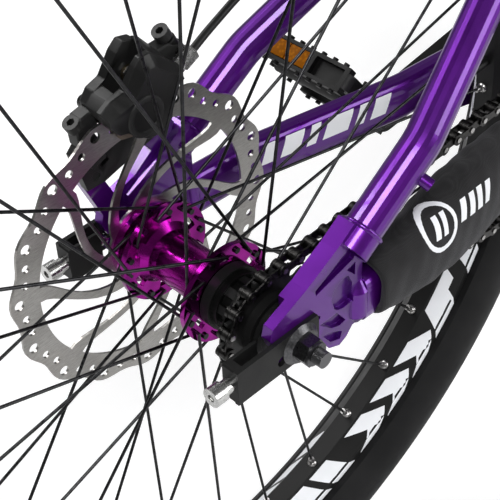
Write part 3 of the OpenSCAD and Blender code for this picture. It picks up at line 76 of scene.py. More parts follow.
CAMERA = {
    "azimuth": 43.233,
    "elevation": 41.593,
    "roll": 2.297,
    "distance": 0.75786,
    "lens": 92.82,
    "sensor": 36.0,
    "aim": "rear_axle",
}
W = H = 500
LONG = max(W, H)


def make_camera():
    """The photograph's camera: aimed so that the rear axle falls on its image point."""
    az, el, roll = (math.radians(CAMERA[k]) for k in ("azimuth", "elevation", "roll"))
    back = Vector((-math.sin(az) * math.cos(el), -math.cos(az) * math.cos(el), math.sin(el)))
    right = (-back).cross(Vector((0, 0, 1))).normalized()
    up = right.cross(-back)
    right, up = (
        right * math.cos(roll) - up * math.sin(roll),
        right * math.sin(roll) + up * math.cos(roll),
    )
    px, py = POINTS[CAMERA["aim"]]
    per_px = CAMERA["distance"] * CAMERA["sensor"] / (CAMERA["lens"] * LONG)
    place = REAR + back * CAMERA["distance"] - right * (px - W / 2) * per_px + up * (py - H / 2) * per_px
    data = bpy.data.cameras.new("camera")
    data.lens = CAMERA["lens"]
    data.sensor_width = CAMERA["sensor"]
    data.sensor_fit = "AUTO"
    data.clip_start, data.clip_end = 0.02, 60
    cam = bpy.data.objects.new("camera", data)
    bpy.context.scene.collection.objects.link(cam)
    cam.matrix_world = Matrix.Translation(place) @ Matrix((right, up, back)).transposed().to_4x4()
    bpy.context.scene.camera = cam
    return cam


camera = make_camera()
camera_at = camera.matrix_world.copy()


def pixel_ray(point):
    """Origin and direction of the ray through an image point."""
    x, y = point
    data = camera.data
    away = Vector((
        x - W / 2 + data.shift_x * LONG,
        H / 2 - y + data.shift_y * LONG,
        -LONG * data.lens / data.sensor_width,
    ))
    return camera_at.translation, (camera_at.to_3x3() @ away).normalized()


def tree_of(*objects):
    """One search tree of several objects' finished meshes, in the row frame."""
    verts, faces = [], []
    deps = bpy.context.evaluated_depsgraph_get()
    for o in objects:
        e = o.evaluated_get(deps)
        m = e.to_mesh()
        start = len(verts)
        verts += [o.matrix_world @ v.co for v in m.vertices]
        faces += [[start + i for i in p.vertices] for p in m.polygons]
        e.to_mesh_clear()
    return BVHTree.FromPolygons(verts, faces)


def on_surface(tree, point):
    """Place and normal where the ray through an image point meets the surface, or nearest to it."""
    start, way = pixel_ray(point)
    hit, normal, _, _ = tree.ray_cast(start, way)
    if hit is None:
        best = None
        for k in range(60):
            q, n, _, d = tree.find_nearest(start + way * (0.4 + 0.02 * k))
            if best is None or d < best[2]:
                best = (q, n, d)
        hit, normal = best[:2]
    return hit, normal if normal.dot(way) < 0 else -normal


# ------------------------------------------------------------------ materials
EDGE_HIGHLIGHT_SPAN = (0.524, 0.56)  # pointiness from which an edge starts and ends to take a painted highlight
PAINT_EDGE, ALLOY_EDGE = 0.7, 0.4  # radius in mm by which edges look broken


class Look:
    """A principled material with a few procedural layers."""

    def __init__(self, name, color, rough, **fixed):
        self.mat = bpy.data.materials.new(name)
        self.mat.use_nodes = True
        self.tree = self.mat.node_tree
        self.bsdf = self.tree.nodes["Principled BSDF"]
        self.bsdf.inputs["Base Color"].default_value = (*color, 1)
        self.bsdf.inputs["Roughness"].default_value = rough
        for key, value in fixed.items():
            self.bsdf.inputs[key.replace("_", " ")].default_value = value
        coords = self.tree.nodes.new("ShaderNodeTexCoord")
        self.place = coords.outputs["Object"]
        self.normal = None

    def new(self, kind, **settings):
        n = self.tree.nodes.new("ShaderNode" + kind)
        for k, v in settings.items():
            setattr(n, k, v)
        return n

    def link(self, a, b):
        self.tree.links.new(a, b)

    def stretched(self, stretch, turn):
        """Object coordinates, scaled and turned."""
        m = self.new("Mapping")
        m.inputs["Scale"].default_value = stretch
        m.inputs["Rotation"].default_value = turn
        self.link(self.place, m.inputs["Vector"])
        return m.outputs["Vector"]

    def noise(self, scale, detail=3.0, where=None, rough=0.5):
        n = self.new("TexNoise")
        n.inputs["Scale"].default_value = scale
        n.inputs["Detail"].default_value = detail
        n.inputs["Roughness"].default_value = rough
        self.link(where or self.place, n.inputs["Vector"])
        return n.outputs["Fac"]

    def cells(self, scale):
        n = self.new("TexVoronoi")
        n.inputs["Scale"].default_value = scale
        self.link(self.place, n.inputs["Vector"])
        return n.outputs["Distance"]

    def waves(self, scale, axis="Y", where=None, distort=0.0):
        n = self.new("TexWave", bands_direction=axis)
        n.inputs["Scale"].default_value = scale
        n.inputs["Distortion"].default_value = distort
        self.link(where or self.place, n.inputs["Vector"])
        return n.outputs["Fac"]

    def between(self, value, low, high, lo_out, hi_out):
        """The value's range from low to high, mapped to another range."""
        n = self.new("MapRange")
        for k, v in zip(("From Min", "From Max", "To Min", "To Max"), (low, high, lo_out, hi_out)):
            n.inputs[k].default_value = v
        self.link(value, n.inputs["Value"])
        return n.outputs["Result"]

    def tint(self, value, colors, spots=(0.3, 0.7)):
        """Colour that runs through the given colours with the value."""
        n = self.new("ValToRGB")
        for k, (c, s) in enumerate(zip(colors, spots)):
            e = n.color_ramp.elements[k] if k < 2 else n.color_ramp.elements.new(s)
            e.position = s
            e.color = (*c, 1)
        self.link(value, n.inputs["Fac"])
        return n.outputs["Color"]

    def mix(self, value, a, b):
        """The first colour where the value is 0 and the second where it is 1."""
        n = self.new("Mix", data_type="RGBA")
        self.link(value, n.inputs[0])
        for socket, c in ((n.inputs[6], a), (n.inputs[7], b)):
            if isinstance(c, tuple):
                socket.default_value = (*c, 1)
            else:
                self.link(c, socket)
        return n.outputs[2]

    def color(self, socket):
        self.link(socket, self.bsdf.inputs["Base Color"])
        return self

    def rough(self, value, low, high):
        """Roughness that follows a noise between two limits."""
        self.link(self.between(value, 0.2, 0.8, low, high), self.bsdf.inputs["Roughness"])
        return self

    def bump(self, height, depth, strength=1.0):
        """Relief of the given depth in mm, laid over the relief before it."""
        n = self.new("Bump")
        n.inputs["Strength"].default_value = strength
        n.inputs["Distance"].default_value = depth * MM
        self.link(height, n.inputs["Height"])
        if self.normal is not None:
            self.link(self.normal, n.inputs["Normal"])
        self.normal = n.outputs["Normal"]
        self.link(self.normal, self.bsdf.inputs["Normal"])
        return self

    def rounded(self, radius):
        """Edges catch the light as if they were broken by this radius, in mm."""
        n = self.new("Bevel", samples=4)
        n.inputs["Radius"].default_value = radius * MM
        self.normal = n.outputs["Normal"]
        self.link(self.normal, self.bsdf.inputs["Normal"])
        return self

    def edges(self):
        """Bright where the surface turns sharply outwards, for a painted highlight along edges."""
        n = self.new("NewGeometry")
        return self.between(n.outputs["Pointiness"], *EDGE_HIGHLIGHT_SPAN, 0.0, 1.0)


def paint(name, deep, light):
    """Metallic lacquer: fine flakes under a clear coat with a little orange peel, and a painted highlight on
    sharp edges.
    """
    k = Look(name, deep, 0.3, Metallic=0.72, Coat_Weight=0.65, Coat_Roughness=0.06)
    k.rounded(PAINT_EDGE)
    base = k.tint(k.noise(14, 2), (deep, light), (0.25, 0.8))
    flake = k.between(k.cells(1500), 0.0, 0.24, 0.35, 0.0)
    base = k.mix(flake, base, tuple(min(1, c * 1.7 + 0.01) for c in light))
    # painted highlight: sharp outward edges take the light tone of the lacquer
    k.color(k.mix(k.edges(), base, light))
    k.rough(k.noise(90, 3), 0.26, 0.4)
    k.bump(k.noise(420, 2), 0.012)
    return k.mat


def metal(name, dark, light, rough, scale=700, depth=0.01):
    """Bare or dyed metal with fine working marks."""
    k = Look(name, dark, rough, Metallic=1.0)
    marks = k.noise(scale, 5)
    cloud = k.noise(30, 3)
    k.color(k.mix(k.between(cloud, 0.3, 0.7, 0, 0.35), k.tint(marks, (dark, light)), light))
    k.rough(marks, rough * 0.75, rough * 1.3)
    k.bump(marks, depth)
    return k.mat


def black(name, tone, rough, scale=900, depth=0.012, edge_highlight=0.5, **fixed):
    """Dark anodised or painted alloy: fine grain, dust in the flats and a painted highlight on sharp edges.
    """
    k = Look(name, (tone,) * 3, rough, **{"Specular_IOR_Level": 0.2, **fixed})
    k.rounded(ALLOY_EDGE)
    grain = k.noise(scale, 3)
    base = k.tint(k.noise(22, 4), ((tone * 0.7,) * 3, (tone * 1.5, tone * 1.48, tone * 1.45)))
    # painted highlight: sharp outward edges are mixed toward this paler tone
    pale = (tone * 3 + 0.02,) * 3
    k.color(k.mix(k.between(k.edges(), 0, 1, 0, edge_highlight), base, pale))
    k.rough(k.noise(60, 4), rough * 0.8, rough * 1.25)
    k.bump(grain, depth)
    return k.mat


PURPLE = ((0.058, 0.0012, 0.145), (0.112, 0.0028, 0.262))
paint_mat = paint("purple_lacquer", *PURPLE)

# dyed hub, with lathe rings round the axle
hub = Look("hub_dye", (0.28, 0.006, 0.24), 0.18, Metallic=1.0, Anisotropic=0.5)
turned = hub.waves(520, distort=0.4)
hub.color(hub.tint(hub.noise(45, 3), ((0.15, 0.003, 0.13), (0.40, 0.012, 0.33))))
hub.rough(turned, 0.13, 0.2)
hub.bump(turned, 0.006)
hub_mat = hub.mat


def rotor_look():
    """Ground stainless disc: fine straight scratches with darker heat stain and dirt."""
    k = Look("rotor_ground", (0.42, 0.41, 0.39), 0.34, Metallic=1.0)
    scratch = k.noise(260, 6, k.stretched((1, 1, 22), (0, 0.5, 0)), 0.65)
    fine = k.noise(700, 4, k.stretched((1, 1, 30), (0, -0.35, 0)))
    tone = k.tint(scratch, ((0.30, 0.29, 0.275), (0.56, 0.55, 0.53)), (0.35, 0.68))
    stain = k.between(k.noise(26, 4), 0.45, 0.75, 0.0, 0.45)
    k.color(k.mix(stain, tone, (0.27, 0.235, 0.22)))
    k.rough(fine, 0.26, 0.42)
    k.bump(scratch, 0.012)
    k.bump(fine, 0.006)
    return k.mat


def rubber(name, tone, rough, scale=1400, depth=0.03):
    """Moulded rubber with a little dust on it."""
    k = Look(name, (tone,) * 3, rough, Specular_IOR_Level=0.2)
    base = k.tint(k.noise(35, 5), ((tone * 0.75,) * 3, (tone * 1.5,) * 3))
    dust = k.between(k.noise(8, 5), 0.5, 0.8, 0.0, 0.35)
    k.color(k.mix(dust, base, (tone * 2.6, tone * 2.5, tone * 2.35)))
    k.rough(k.noise(120, 3), rough * 0.9, min(1, rough * 1.15))
    k.bump(k.noise(scale, 3), depth)
    return k.mat


def tyre_look():
    """Tyre rubber: matt, with paler clouds of dust."""
    k = Look("tyre_rubber", (0.009,) * 3, 0.6, Specular_IOR_Level=0.18)
    base = k.tint(k.noise(20, 5), ((0.006, 0.006, 0.0065), (0.013, 0.013, 0.0135)))
    k.color(k.mix(k.between(k.noise(5, 4), 0.5, 0.8, 0, 0.3), base, (0.022, 0.0215, 0.0205)))
    k.rough(k.noise(90, 4), 0.5, 0.68)
    k.bump(k.noise(900, 4), 0.03)
    return k.mat


def knit(name, tone):
    """Stretch neoprene sleeve: knitted skin in fine rows."""
    k = Look(name, (tone,) * 3, 0.85, Sheen_Weight=0.12, Sheen_Roughness=0.5, Specular_IOR_Level=0.25)
    k.bsdf.inputs["Sheen Tint"].default_value = (0.75, 0.75, 0.8, 1)
    rows = k.waves(330, "X", k.stretched((1, 1, 1), (0, 0.06, 0)), distort=1.2)
    loops = k.waves(460, "Z", distort=1.6)
    both = k.new("Math", operation="MULTIPLY")
    k.link(rows, both.inputs[0])
    k.link(loops, both.inputs[1])
    cloth = both.outputs[0]
    tone_map = k.tint(k.noise(40, 4), ((tone * 0.8,) * 3, (tone * 1.35, tone * 1.3, tone * 1.38)))
    k.color(k.mix(k.between(cloth, 0, 1, 0.0, 0.45), tone_map, (tone * 2.2,) * 3))
    k.rough(k.noise(140, 3), 0.78, 0.92)
    k.bump(cloth, 0.09)
    k.bump(k.noise(60, 3), 0.25, 0.5)
    return k.mat


def vinyl(name, tone):
    """Saddle skin: pebbled grain with a soft shine."""
    k = Look(name, (tone,) * 3, 0.46, Specular_IOR_Level=0.5)
    pebble = k.cells(520)
    k.color(k.mix(k.between(pebble, 0.1, 0.6, 0, 0.6), (tone * 0.7,) * 3, (tone * 1.7,) * 3))
    k.rough(k.noise(70, 3), 0.38, 0.55)
    k.bump(pebble, 0.16)
    k.bump(k.noise(35, 3), 0.3, 0.5)
    return k.mat


def print_look(name, tone):
    """White printed film, slightly broken at its surface."""
    k = Look(name, (tone,) * 3, 0.42)
    k.color(k.tint(k.noise(60, 4), ((tone * 0.95, tone * 0.97, tone), (tone, tone * 1.01, tone * 1.05))))
    k.rough(k.noise(200, 3), 0.36, 0.5)
    k.bump(k.noise(900, 3), 0.01)
    return k.mat


def amber_look():
    """Amber reflector: prisms under a clear face."""
    k = Look("amber_lens", (0.50, 0.16, 0.012), 0.5, Specular_IOR_Level=0.04)
    prism = k.cells(340)
    k.color(k.mix(k.between(prism, 0.05, 0.55, 0, 1), (0.56, 0.19, 0.004), (0.34, 0.105, 0.002)))
    k.bump(prism, 0.08)
    return k.mat


rotor_mat = rotor_look()
tyre_mat = tyre_look()
sleeve_mat = knit("sleeve_knit", 0.013)
saddle_mat = vinyl("saddle_skin", 0.016)
white_mat = print_look("white_print", 0.9)
amber_mat = amber_look()
rubber_mat = rubber("soft_rubber", 0.009, 0.62)
hose_mat = rubber("hose_skin", 0.012, 0.36, 500, 0.01)
black_alloy = black("black_dyed_alloy", 0.007, 0.34, Metallic=0.55)
black_matt = black("black_matt_alloy", 0.004, 0.42, 700, 0.02, 0.35, Metallic=0.3)
black_cast = black("black_cast_alloy", 0.008, 0.36, 480, 0.05, 0.35)
black_plastic = black("black_plastic", 0.009, 0.5, 650, 0.05, 0.25)
rim_mat = black("rim_dye", 0.0035, 0.42, 1100, 0.01, 0.3)
tube_black = black(
    "black_tube_paint", 0.006, 0.24, 300, 0.008, 0.2, Coat_Weight=0.6, Coat_Roughness=0.1)
chain_mat = metal("chain_black", (0.022, 0.021, 0.021), (0.07, 0.068, 0.066), 0.32, scale=500)
pin_mat = metal("chain_pin", (0.30, 0.29, 0.28), (0.62, 0.61, 0.6), 0.22, scale=900)
spoke_mat = metal("spoke_black", (0.014, 0.014, 0.015), (0.05, 0.05, 0.052), 0.3, 300, 0.004)
silver = metal("bright_steel", (0.50, 0.50, 0.49), (0.78, 0.78, 0.77), 0.24, scale=600)
nickel = metal("nipple_nickel", (0.34, 0.33, 0.32), (0.62, 0.61, 0.60), 0.3, scale=500)
dark_steel = metal("black_oxide", (0.055, 0.055, 0.058), (0.15, 0.15, 0.155), 0.32, scale=800, depth=0.02)
brass = metal("brass_pin", (0.24, 0.19, 0.12), (0.42, 0.36, 0.26), 0.35, scale=500)
pad_mat = metal("pad_plate", (0.16, 0.13, 0.10), (0.30, 0.25, 0.2), 0.5, scale=300, depth=0.05)

# threaded axle, with its turns as relief
thread = Look("threaded_steel", (0.09, 0.09, 0.092), 0.34, Metallic=1.0)
turns = thread.waves(500)
thread.color(thread.tint(turns, ((0.03, 0.03, 0.032), (0.16, 0.16, 0.165)), (0.2, 0.8)))
thread.rough(thread.noise(300), 0.26, 0.42)
thread.bump(turns, 0.22)
thread_mat = thread.mat

MATERIALS = {
    paint_mat: "head_tube top_tube down_tube seat_tube bottom_bracket chainstay_left chainstay_right "
    "seatstay_left seatstay_right dropout_left dropout_right fork_crown fork_legs",
    hub_mat: "rear_hub front_hub",
    rotor_mat: "rear_rotor",
    tyre_mat: "rear_tyre front_tyre",
    rim_mat: "rear_rim front_rim",
    spoke_mat: "rear_spokes front_spokes",
    nickel: "rear_nipples front_nipples",
    black_matt: "tensioners seat_clamp bearing_cups freehub cog_spacers",
    black_alloy: "stem stem_faceplate stem_spacer stem_bolts crank_arm_left crank_arm_right seatpost "
    "chainring cog",
    tube_black: "handlebar",
    black_cast: "rear_caliper rear_bracket brake_master brake_lever",
    black_plastic: "pedal_left pedal_right saddle",
    chain_mat: "chain",
    dark_steel: "rear_nuts rear_rotor_bolts front_axle",
    thread_mat: "rear_axle",
    silver: "tensioner_screws hose_fitting pedal_axles crank_spindle",
    pad_mat: "rear_pad_inner rear_pad_outer",
    rubber_mat: "grips rear_hose chainstay_sleeve",
}
SHARP = 32  # an edge that turns more than this, in degrees, is shaded sharp
for look, names in MATERIALS.items():
    for name in names.split():
        mesh = node[name].data
        mesh.materials.clear()
        mesh.materials.append(look)
        mesh.shade_smooth()
        mesh.set_sharp_from_angle(angle=math.radians(SHARP))

# the ends of the chain's pins are worn bright
CHAIN_LINE = -51 * MM
PIN_END = 0.05 * MM
chain = node["chain"].data
chain.materials.append(pin_mat)
off_line = [abs(v.co.y - CHAIN_LINE) for v in chain.vertices]
reach = max(off_line)
for face in chain.polygons:
    if all(off_line[i] > reach - PIN_END for i in face.vertices):
        face.material_index = 1


# ------------------------------------------------------------------ mesh helpers
def added(name, bm):
    """The object of a finished mesh, in the scene."""
    mesh = bpy.data.meshes.new(name)
    bm.normal_update()
    bm.to_mesh(mesh)
    bm.free()
    obj = bpy.data.objects.new(name, mesh)
    bpy.context.scene.collection.objects.link(obj)
    return obj


def made(name, bm, mat, body, smooth=SHARP):
    """Finishes a piece: object, material, smooth shading and body."""
    obj = added(name, bm)
    mesh = obj.data
    mesh.materials.append(mat)
    mesh.shade_smooth()
    if smooth < 180:
        mesh.set_sharp_from_angle(angle=math.radians(smooth))
    if body:
        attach(obj, body)
    return obj


def ring_mesh(bm, rings, closed=False, caps=True):
    """Skin through rings of points."""
    rows = [[bm.verts.new(p) for p in ring] for ring in rings]
    n = len(rows[0])
    pairs = list(zip(rows, rows[1:])) + ([(rows[-1], rows[0])] if closed else [])
    for a, b in pairs:
        for j in range(n):
            bm.faces.new((a[j], a[(j + 1) % n], b[(j + 1) % n], b[j]))
    if caps and not closed:
        bm.faces.new(list(reversed(rows[0])))
        bm.faces.new(rows[-1])
    bmesh.ops.recalc_face_normals(bm, faces=bm.faces)
    return rows


def axes_on(direction):
    """A direction with two more that are square to it, the first as near to upright as can be."""
    d = direction.normalized()
    u = Vector((0, 0, 1)) - d * d.z
    if u.length < 1e-4:
        u = Vector((1, 0, 0)) - d * d.x
    u.normalize()
    return d, u, d.cross(u)


def around(n):
    """Angles that share out a full turn."""
    return [2 * math.pi * j / n for j in range(n)]


def turned_part(bm, start, direction, profile, sides=32):
    """A lathe form: profile is a list of (distance along, radius) in mm."""
    d, u, v = axes_on(direction)
    ring_mesh(bm, [[start + d * s * MM + (u * math.cos(a) + v * math.sin(a)) * r * MM for a in around(sides)]
                   for s, r in profile])


def tube_along(bm, points, radius, sides=10):
    """A round tube along points, with a frame carried along so that it doesn't twist."""
    rings, side = [], None
    for k, p in enumerate(points):
        a, b = points[max(0, k - 1)], points[min(len(points) - 1, k + 1)]
        t = (b - a).normalized()
        if side is None:
            side = t.cross(Vector((0.31, 0.85, 0.42))).normalized()
        side = (side - t * side.dot(t)).normalized()
        up = t.cross(side)
        rings.append([p + (side * math.cos(w) + up * math.sin(w)) * radius for w in around(sides)])
    ring_mesh(bm, rings)


def smooth_route(points, steps):
    """Points of a smooth curve through the given ones."""
    out = []
    for i in range(len(points) - 1):
        a, b = points[max(i - 1, 0)], points[i]
        c, d = points[i + 1], points[min(i + 2, len(points) - 1)]
        for s in range(steps):
            t = s / steps
            out.append(0.5 * (2 * b + (c - a) * t + (2 * a - 5 * b + 4 * c - d) * t * t
                              + (3 * b - a - 3 * c + d) * t ** 3))
    return out + [points[-1]]


SPLITS = 8  # most rounds of splitting for print that follows a curved surface
PRINT_REACH = 0.05  # how far from its plane print looks for the surface, in metres


def flat_shapes(shapes, too_long):
    """Flat print, split until no edge is too long to follow the surface."""
    bm = bmesh.new()
    for shape in shapes:
        bm.faces.new([bm.verts.new((x, y, 0)) for x, y in shape])
    bmesh.ops.triangulate(bm, faces=bm.faces)
    for _ in range(SPLITS):
        long_edges = [e for e in bm.edges if too_long(e)]
        if not long_edges:
            break
        bmesh.ops.subdivide_edges(bm, edges=long_edges, cuts=1)
        bmesh.ops.triangulate(bm, faces=bm.faces)
    return bm


def thicken(bm, step):
    """Gives print a thin edge, down into its surface."""
    geom = bmesh.ops.extrude_face_region(bm, geom=list(bm.faces))
    for g in geom["geom"]:
        if isinstance(g, bmesh.types.BMVert):
            g.co += step
    bmesh.ops.recalc_face_normals(bm, faces=bm.faces)


def decal(name, tree, centre, u, v, shapes, lift, fine):
    """Thin white shapes, drawn in mm along u and v, laid on a surface of the frame along its normal."""
    n = u.cross(v).normalized()
    bm = flat_shapes(shapes, lambda e: e.calc_length() > fine)
    lost = []
    for vert in bm.verts:
        p = centre + u * vert.co.x * MM + v * vert.co.y * MM
        hit, normal, _, _ = tree.ray_cast(p + n * PRINT_REACH, -n, PRINT_REACH * 2)
        if hit is None:
            lost.append(vert)
            continue
        if normal.dot(n) < 0:
            normal = -normal
        vert.co = hit + normal * lift * MM
    bmesh.ops.delete(bm, geom=lost, context="VERTS")
    thicken(bm, n * (-0.8 * lift) * MM)
    made(name, bm, white_mat, "frame", 40)


# ------------------------------------------------------------------ the brake hose
# points along its middle, in mm from the rear axle, as in the part's source
HOSE = [
    (45, 49.4, 115), (57, 51, 119.5), (70, 52.5, 124), (85, 54.5, 128.5), (100, 55.5, 132.5),
    (118, 56, 136), (138, 55, 138), (158, 53, 140), (180, 51, 144), (200, 50, 155), (220, 50, 168),
    (240, 50, 181), (260, 50, 194), (274, 47, 203), (290, 40, 212), (308, 31, 223), (325, 25, 233),
    (345, 21, 239), (400, 20, 254), (470, 20, 281), (540, 20, 309), (610, 20, 337), (680, 20, 365),
    (750, 20, 393), (820, 20, 421), (850, 21, 433), (880, 25, 446), (912, 34, 462), (944, 42, 488),
    (972, 44, 524), (992, 38, 566), (1000, 22, 610), (996, -6, 652), (984, -38, 688),
    (966, -70, 712), (946, -100, 726), (932, -126, 731), (926, -145, 733), (922.8, -161.6, 732.9),
]
HOSE_R = 2.5 * MM
bm = bmesh.new()
tube_along(bm, smooth_route([at(*p) for p in HOSE], 5), HOSE_R, 14)
hose = made("brake_hose", bm, hose_mat, None, 60)
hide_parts("rear_hose")
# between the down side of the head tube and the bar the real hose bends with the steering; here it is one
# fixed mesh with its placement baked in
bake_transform(hose)


# ------------------------------------------------------------------ sleeve on the right chainstay
def ease(t):
    t = min(1.0, max(0.0, t))
    return t * t * (3 - 2 * t)


def mix(a, b, t):
    return a + (b - a) * t


BB = (416.559, -22)  # x and z of the bottom bracket's axle
SLEEVE = (62, 252)  # x where the sleeve begins and ends
SLEEVE_SKIN = 1.2
SLEEVE_W, SLEEVE_H = (15.5, 20), (21, 30)  # half width and height, at its rolled end and at its middle
SLEEVE_PINCH = 5.6  # how much narrower it gets toward the front
STAY_MID, STAY_BEND, STAY_WAIST, WAIST_Y = 71, 95, 235, 49.5
STAY_BLEND = 18  # how far the stay's bends are rounded
STAY_SLOPE = BB[1] / BB[0]


def stay_y(x):
    """Distance of the chainstay from the middle plane, with sharp bends."""
    share = (x - STAY_BEND) / (STAY_WAIST - STAY_BEND)
    return mix(STAY_MID, WAIST_Y, min(1, max(0, share)))


def stay_mid(x):
    """The same with rounded bends."""
    return (stay_y(x - STAY_BLEND) + 2 * stay_y(x) + stay_y(x + STAY_BLEND)) / 4


def squared(half_w, half_h, angle, power_w, power_h):
    """A point of an oval that is fuller in its corners."""
    c, s = math.cos(angle), math.sin(angle)
    return half_w * math.copysign(abs(c) ** power_w, c), half_h * math.copysign(abs(s) ** power_h, s)


def sleeve_ring(t, shrink=0.0, sides=64):
    """One ring of the sleeve, at a share of its length, in the loose waves of its knit."""
    x = mix(*SLEEVE, t)
    full = ease(t * 2.2)
    w = mix(*SLEEVE_W, full) - SLEEVE_PINCH * ease(t * 2 - 1) - shrink
    h = mix(*SLEEVE_H, full) - shrink
    out = []
    for a in around(sides):
        wave = 0.35 * math.sin(x * 0.21 + 3 * a) + 0.25 * math.sin(x * 0.37 - 5 * a)
        dy, dz = squared(w + wave, h + wave, a, 0.8, 0.8)
        out.append(at(x, -stay_mid(x) - dy, STAY_SLOPE * x + 1 + dz))
    return out


# each rolled end: share of the length, and how much the ring is drawn in
ROLLED = [(0.012, 5.5), (0.002, 4.2), (0.0, 2.4), (0.003, 0.9), (0.012, 0.2)]
SLEEVE_STEPS = 46
rings = [sleeve_ring(t, s) for t, s in ROLLED]
rings += [sleeve_ring(mix(0.03, 0.97, k / SLEEVE_STEPS)) for k in range(SLEEVE_STEPS + 1)]
rings += [sleeve_ring(1 - t, s) for t, s in reversed(ROLLED)]
bm = bmesh.new()
ring_mesh(bm, rings, caps=False)
sleeve = made("chain_sleeve", bm, sleeve_mat, "frame", 180)
thick = sleeve.modifiers.new("skin", "SOLIDIFY")
thick.thickness = SLEEVE_SKIN * MM
thick.offset = -1
sub = sleeve.modifiers.new("round", "SUBSURF")
sub.levels = sub.render_levels = 1
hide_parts("chainstay_sleeve")
bpy.context.view_layer.update()
sleeve_tree = tree_of(sleeve)

# ------------------------------------------------------------------ saddle, with a padded cover
POST_TOP = at(287.96, 0, 351.48)
SADDLE_L, SADDLE_W = 245, 128
SADDLE_LIFT = 14.6  # above the top of the post
SADDLE_TILT = Matrix.Rotation(math.radians(-6), 3, "Y")
GROOVE, GROOVE_W = 2.2, 7  # relief channel along the middle: depth and half width
COVER, BASE = (-0.25, 0.99), (-1.0, -0.27)  # shares of the height: the cover above, the base below


def saddle_half(t):
    """Half width at a share of the length, from nose to tail."""
    return SADDLE_W / 2 * (0.27 + 0.73 * ease(t * 1.25)) * math.sqrt(max(0.001, 1 - abs(2 * t - 1) ** 7))


def saddle_top(t):
    """Height of the top, with a raised nose and tail."""
    return 24 - 13 * math.sin(math.pi * t) + 14 * t ** 3 - 8 * (1 - t) ** 6


def saddle_low(t):
    """Height of the underside."""
    return saddle_top(t) - (17 + 20 * t) * math.sqrt(max(0.02, 1 - abs(2 * t - 1) ** 8))


SADDLE_STEPS, SADDLE_SIDES = 44, 48


def saddle_rings(low, high, inset):
    """Rings of the saddle's outline between two shares of its height."""
    rings = []
    for i in range(SADDLE_STEPS + 1):
        t = 0.5 - 0.5 * math.cos(math.pi * i / SADDLE_STEPS)
        w, a, b = max(saddle_half(t) - inset, 3), saddle_top(t), saddle_low(t)
        mid, half = (a + b) / 2, (a - b) / 2
        x = SADDLE_L * (0.56 - t) * (1 - inset / 130)
        ring = []
        for q in around(SADDLE_SIDES):
            y, dz = squared(w, half, q, 0.75, 0.6)
            if math.sin(q) > 0:
                dz -= GROOVE * math.exp(-((y / GROOVE_W) ** 2)) * ease(t * 3) * ease((1 - t) * 4)
            z = mid + max(low * half, min(high * half, dz))
            ring.append(POST_TOP + Vector((0, 0, SADDLE_LIFT)) * MM + SADDLE_TILT @ (Vector((x, y, z)) * MM))
        rings.append(ring)
    return rings


bm = bmesh.new()
ring_mesh(bm, saddle_rings(*COVER, 0.6))
cover = made("saddle_cover", bm, saddle_mat, "seat", 70)
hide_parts("saddle")
bm = bmesh.new()
ring_mesh(bm, saddle_rings(*BASE, 2.4))
made("saddle_base", bm, black_plastic, "seat", 50)
# welt where the cover turns under, along one side and back along the other
edge = saddle_rings(*COVER, 0.2)
WELT_R = 1.1 * MM
bm = bmesh.new()
tube_along(bm, [ring[0] for ring in edge] + [ring[SADDLE_SIDES // 2] for ring in reversed(edge)], WELT_R, 8)
made("saddle_welt", bm, rubber_mat, "seat", 60)

# ------------------------------------------------------------------ grips
BAR_END, BAR_TOP = at(861.29, 365, 725.046), at(900.575, 150, 725.908)
GRIP_R, BAR_R = 16, 11.1
RIB_START, RIB_PITCH, RIBS, RIB_DEPTH = 6, 4.55, 26, 1.1
grip_shape = [(-3.9, 0.4), (-3.9, GRIP_R - 4), (-2.6, GRIP_R - 1.4), (0, GRIP_R - 0.4), (3, GRIP_R)]
for k in range(RIBS):
    s = RIB_START + k * RIB_PITCH
    low = GRIP_R - RIB_DEPTH
    grip_shape += [(s, GRIP_R), (s + 0.5, low), (s + 1.6, low), (s + 2.1, GRIP_R)]
# flange at the inner end
grip_shape += [(126.5, GRIP_R), (128.2, GRIP_R - 0.8), (130, GRIP_R + 3), (131.4, GRIP_R + 5.7),
               (134, GRIP_R + 5.9), (134.9, GRIP_R + 5), (134.9, BAR_R + 0.1)]
for side in (1, -1):
    end = Vector((BAR_END.x, side * BAR_END.y, BAR_END.z))
    top = Vector((BAR_TOP.x, side * BAR_TOP.y, BAR_TOP.z))
    bm = bmesh.new()
    turned_part(bm, end, top - end, grip_shape, 56)
    grip = made("grip_left" if side > 0 else "grip_right", bm, rubber_mat, "steering", 40)
    if side > 0:
        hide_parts("grips")

# ------------------------------------------------------------------ generic mark on the sleeve
# a plain ring round two bars, then four slanted bars
badge_at, badge_n = on_surface(sleeve_tree, POINTS["sleeve_badge"])
along = Vector((1, 0, STAY_SLOPE)).normalized()
badge_u = (along - badge_n * along.dot(badge_n)).normalized()
badge_v = badge_n.cross(badge_u)


def ring_shapes(outer, inner, parts=24):
    """A flat ring cut into sectors."""
    out = []
    for a in around(parts):
        b = a + 2 * math.pi / parts
        corners = ((inner, a), (outer, a), (outer, b), (inner, b))
        out.append([(r * math.cos(t), r * math.sin(t)) for r, t in corners])
    return out


def slab(x, y, w, h, lean):
    """A slanted bar: lower-left corner, width, height and how far its top leans."""
    return [(x, y), (x + w, y), (x + w + lean, y + h), (x + lean, y + h)]


badge = ring_shapes(15.5, 12.6) + [slab(-6.5, -7, 4.2, 14, 3), slab(0.6, -7, 4.2, 14, 3)]
badge += [slab(19 + 9.4 * k, -6.5, 5.6, 13, 4) for k in range(4)]
decal("sleeve_print", sleeve_tree, badge_at, badge_u, badge_v, badge, 0.25, 2.0)

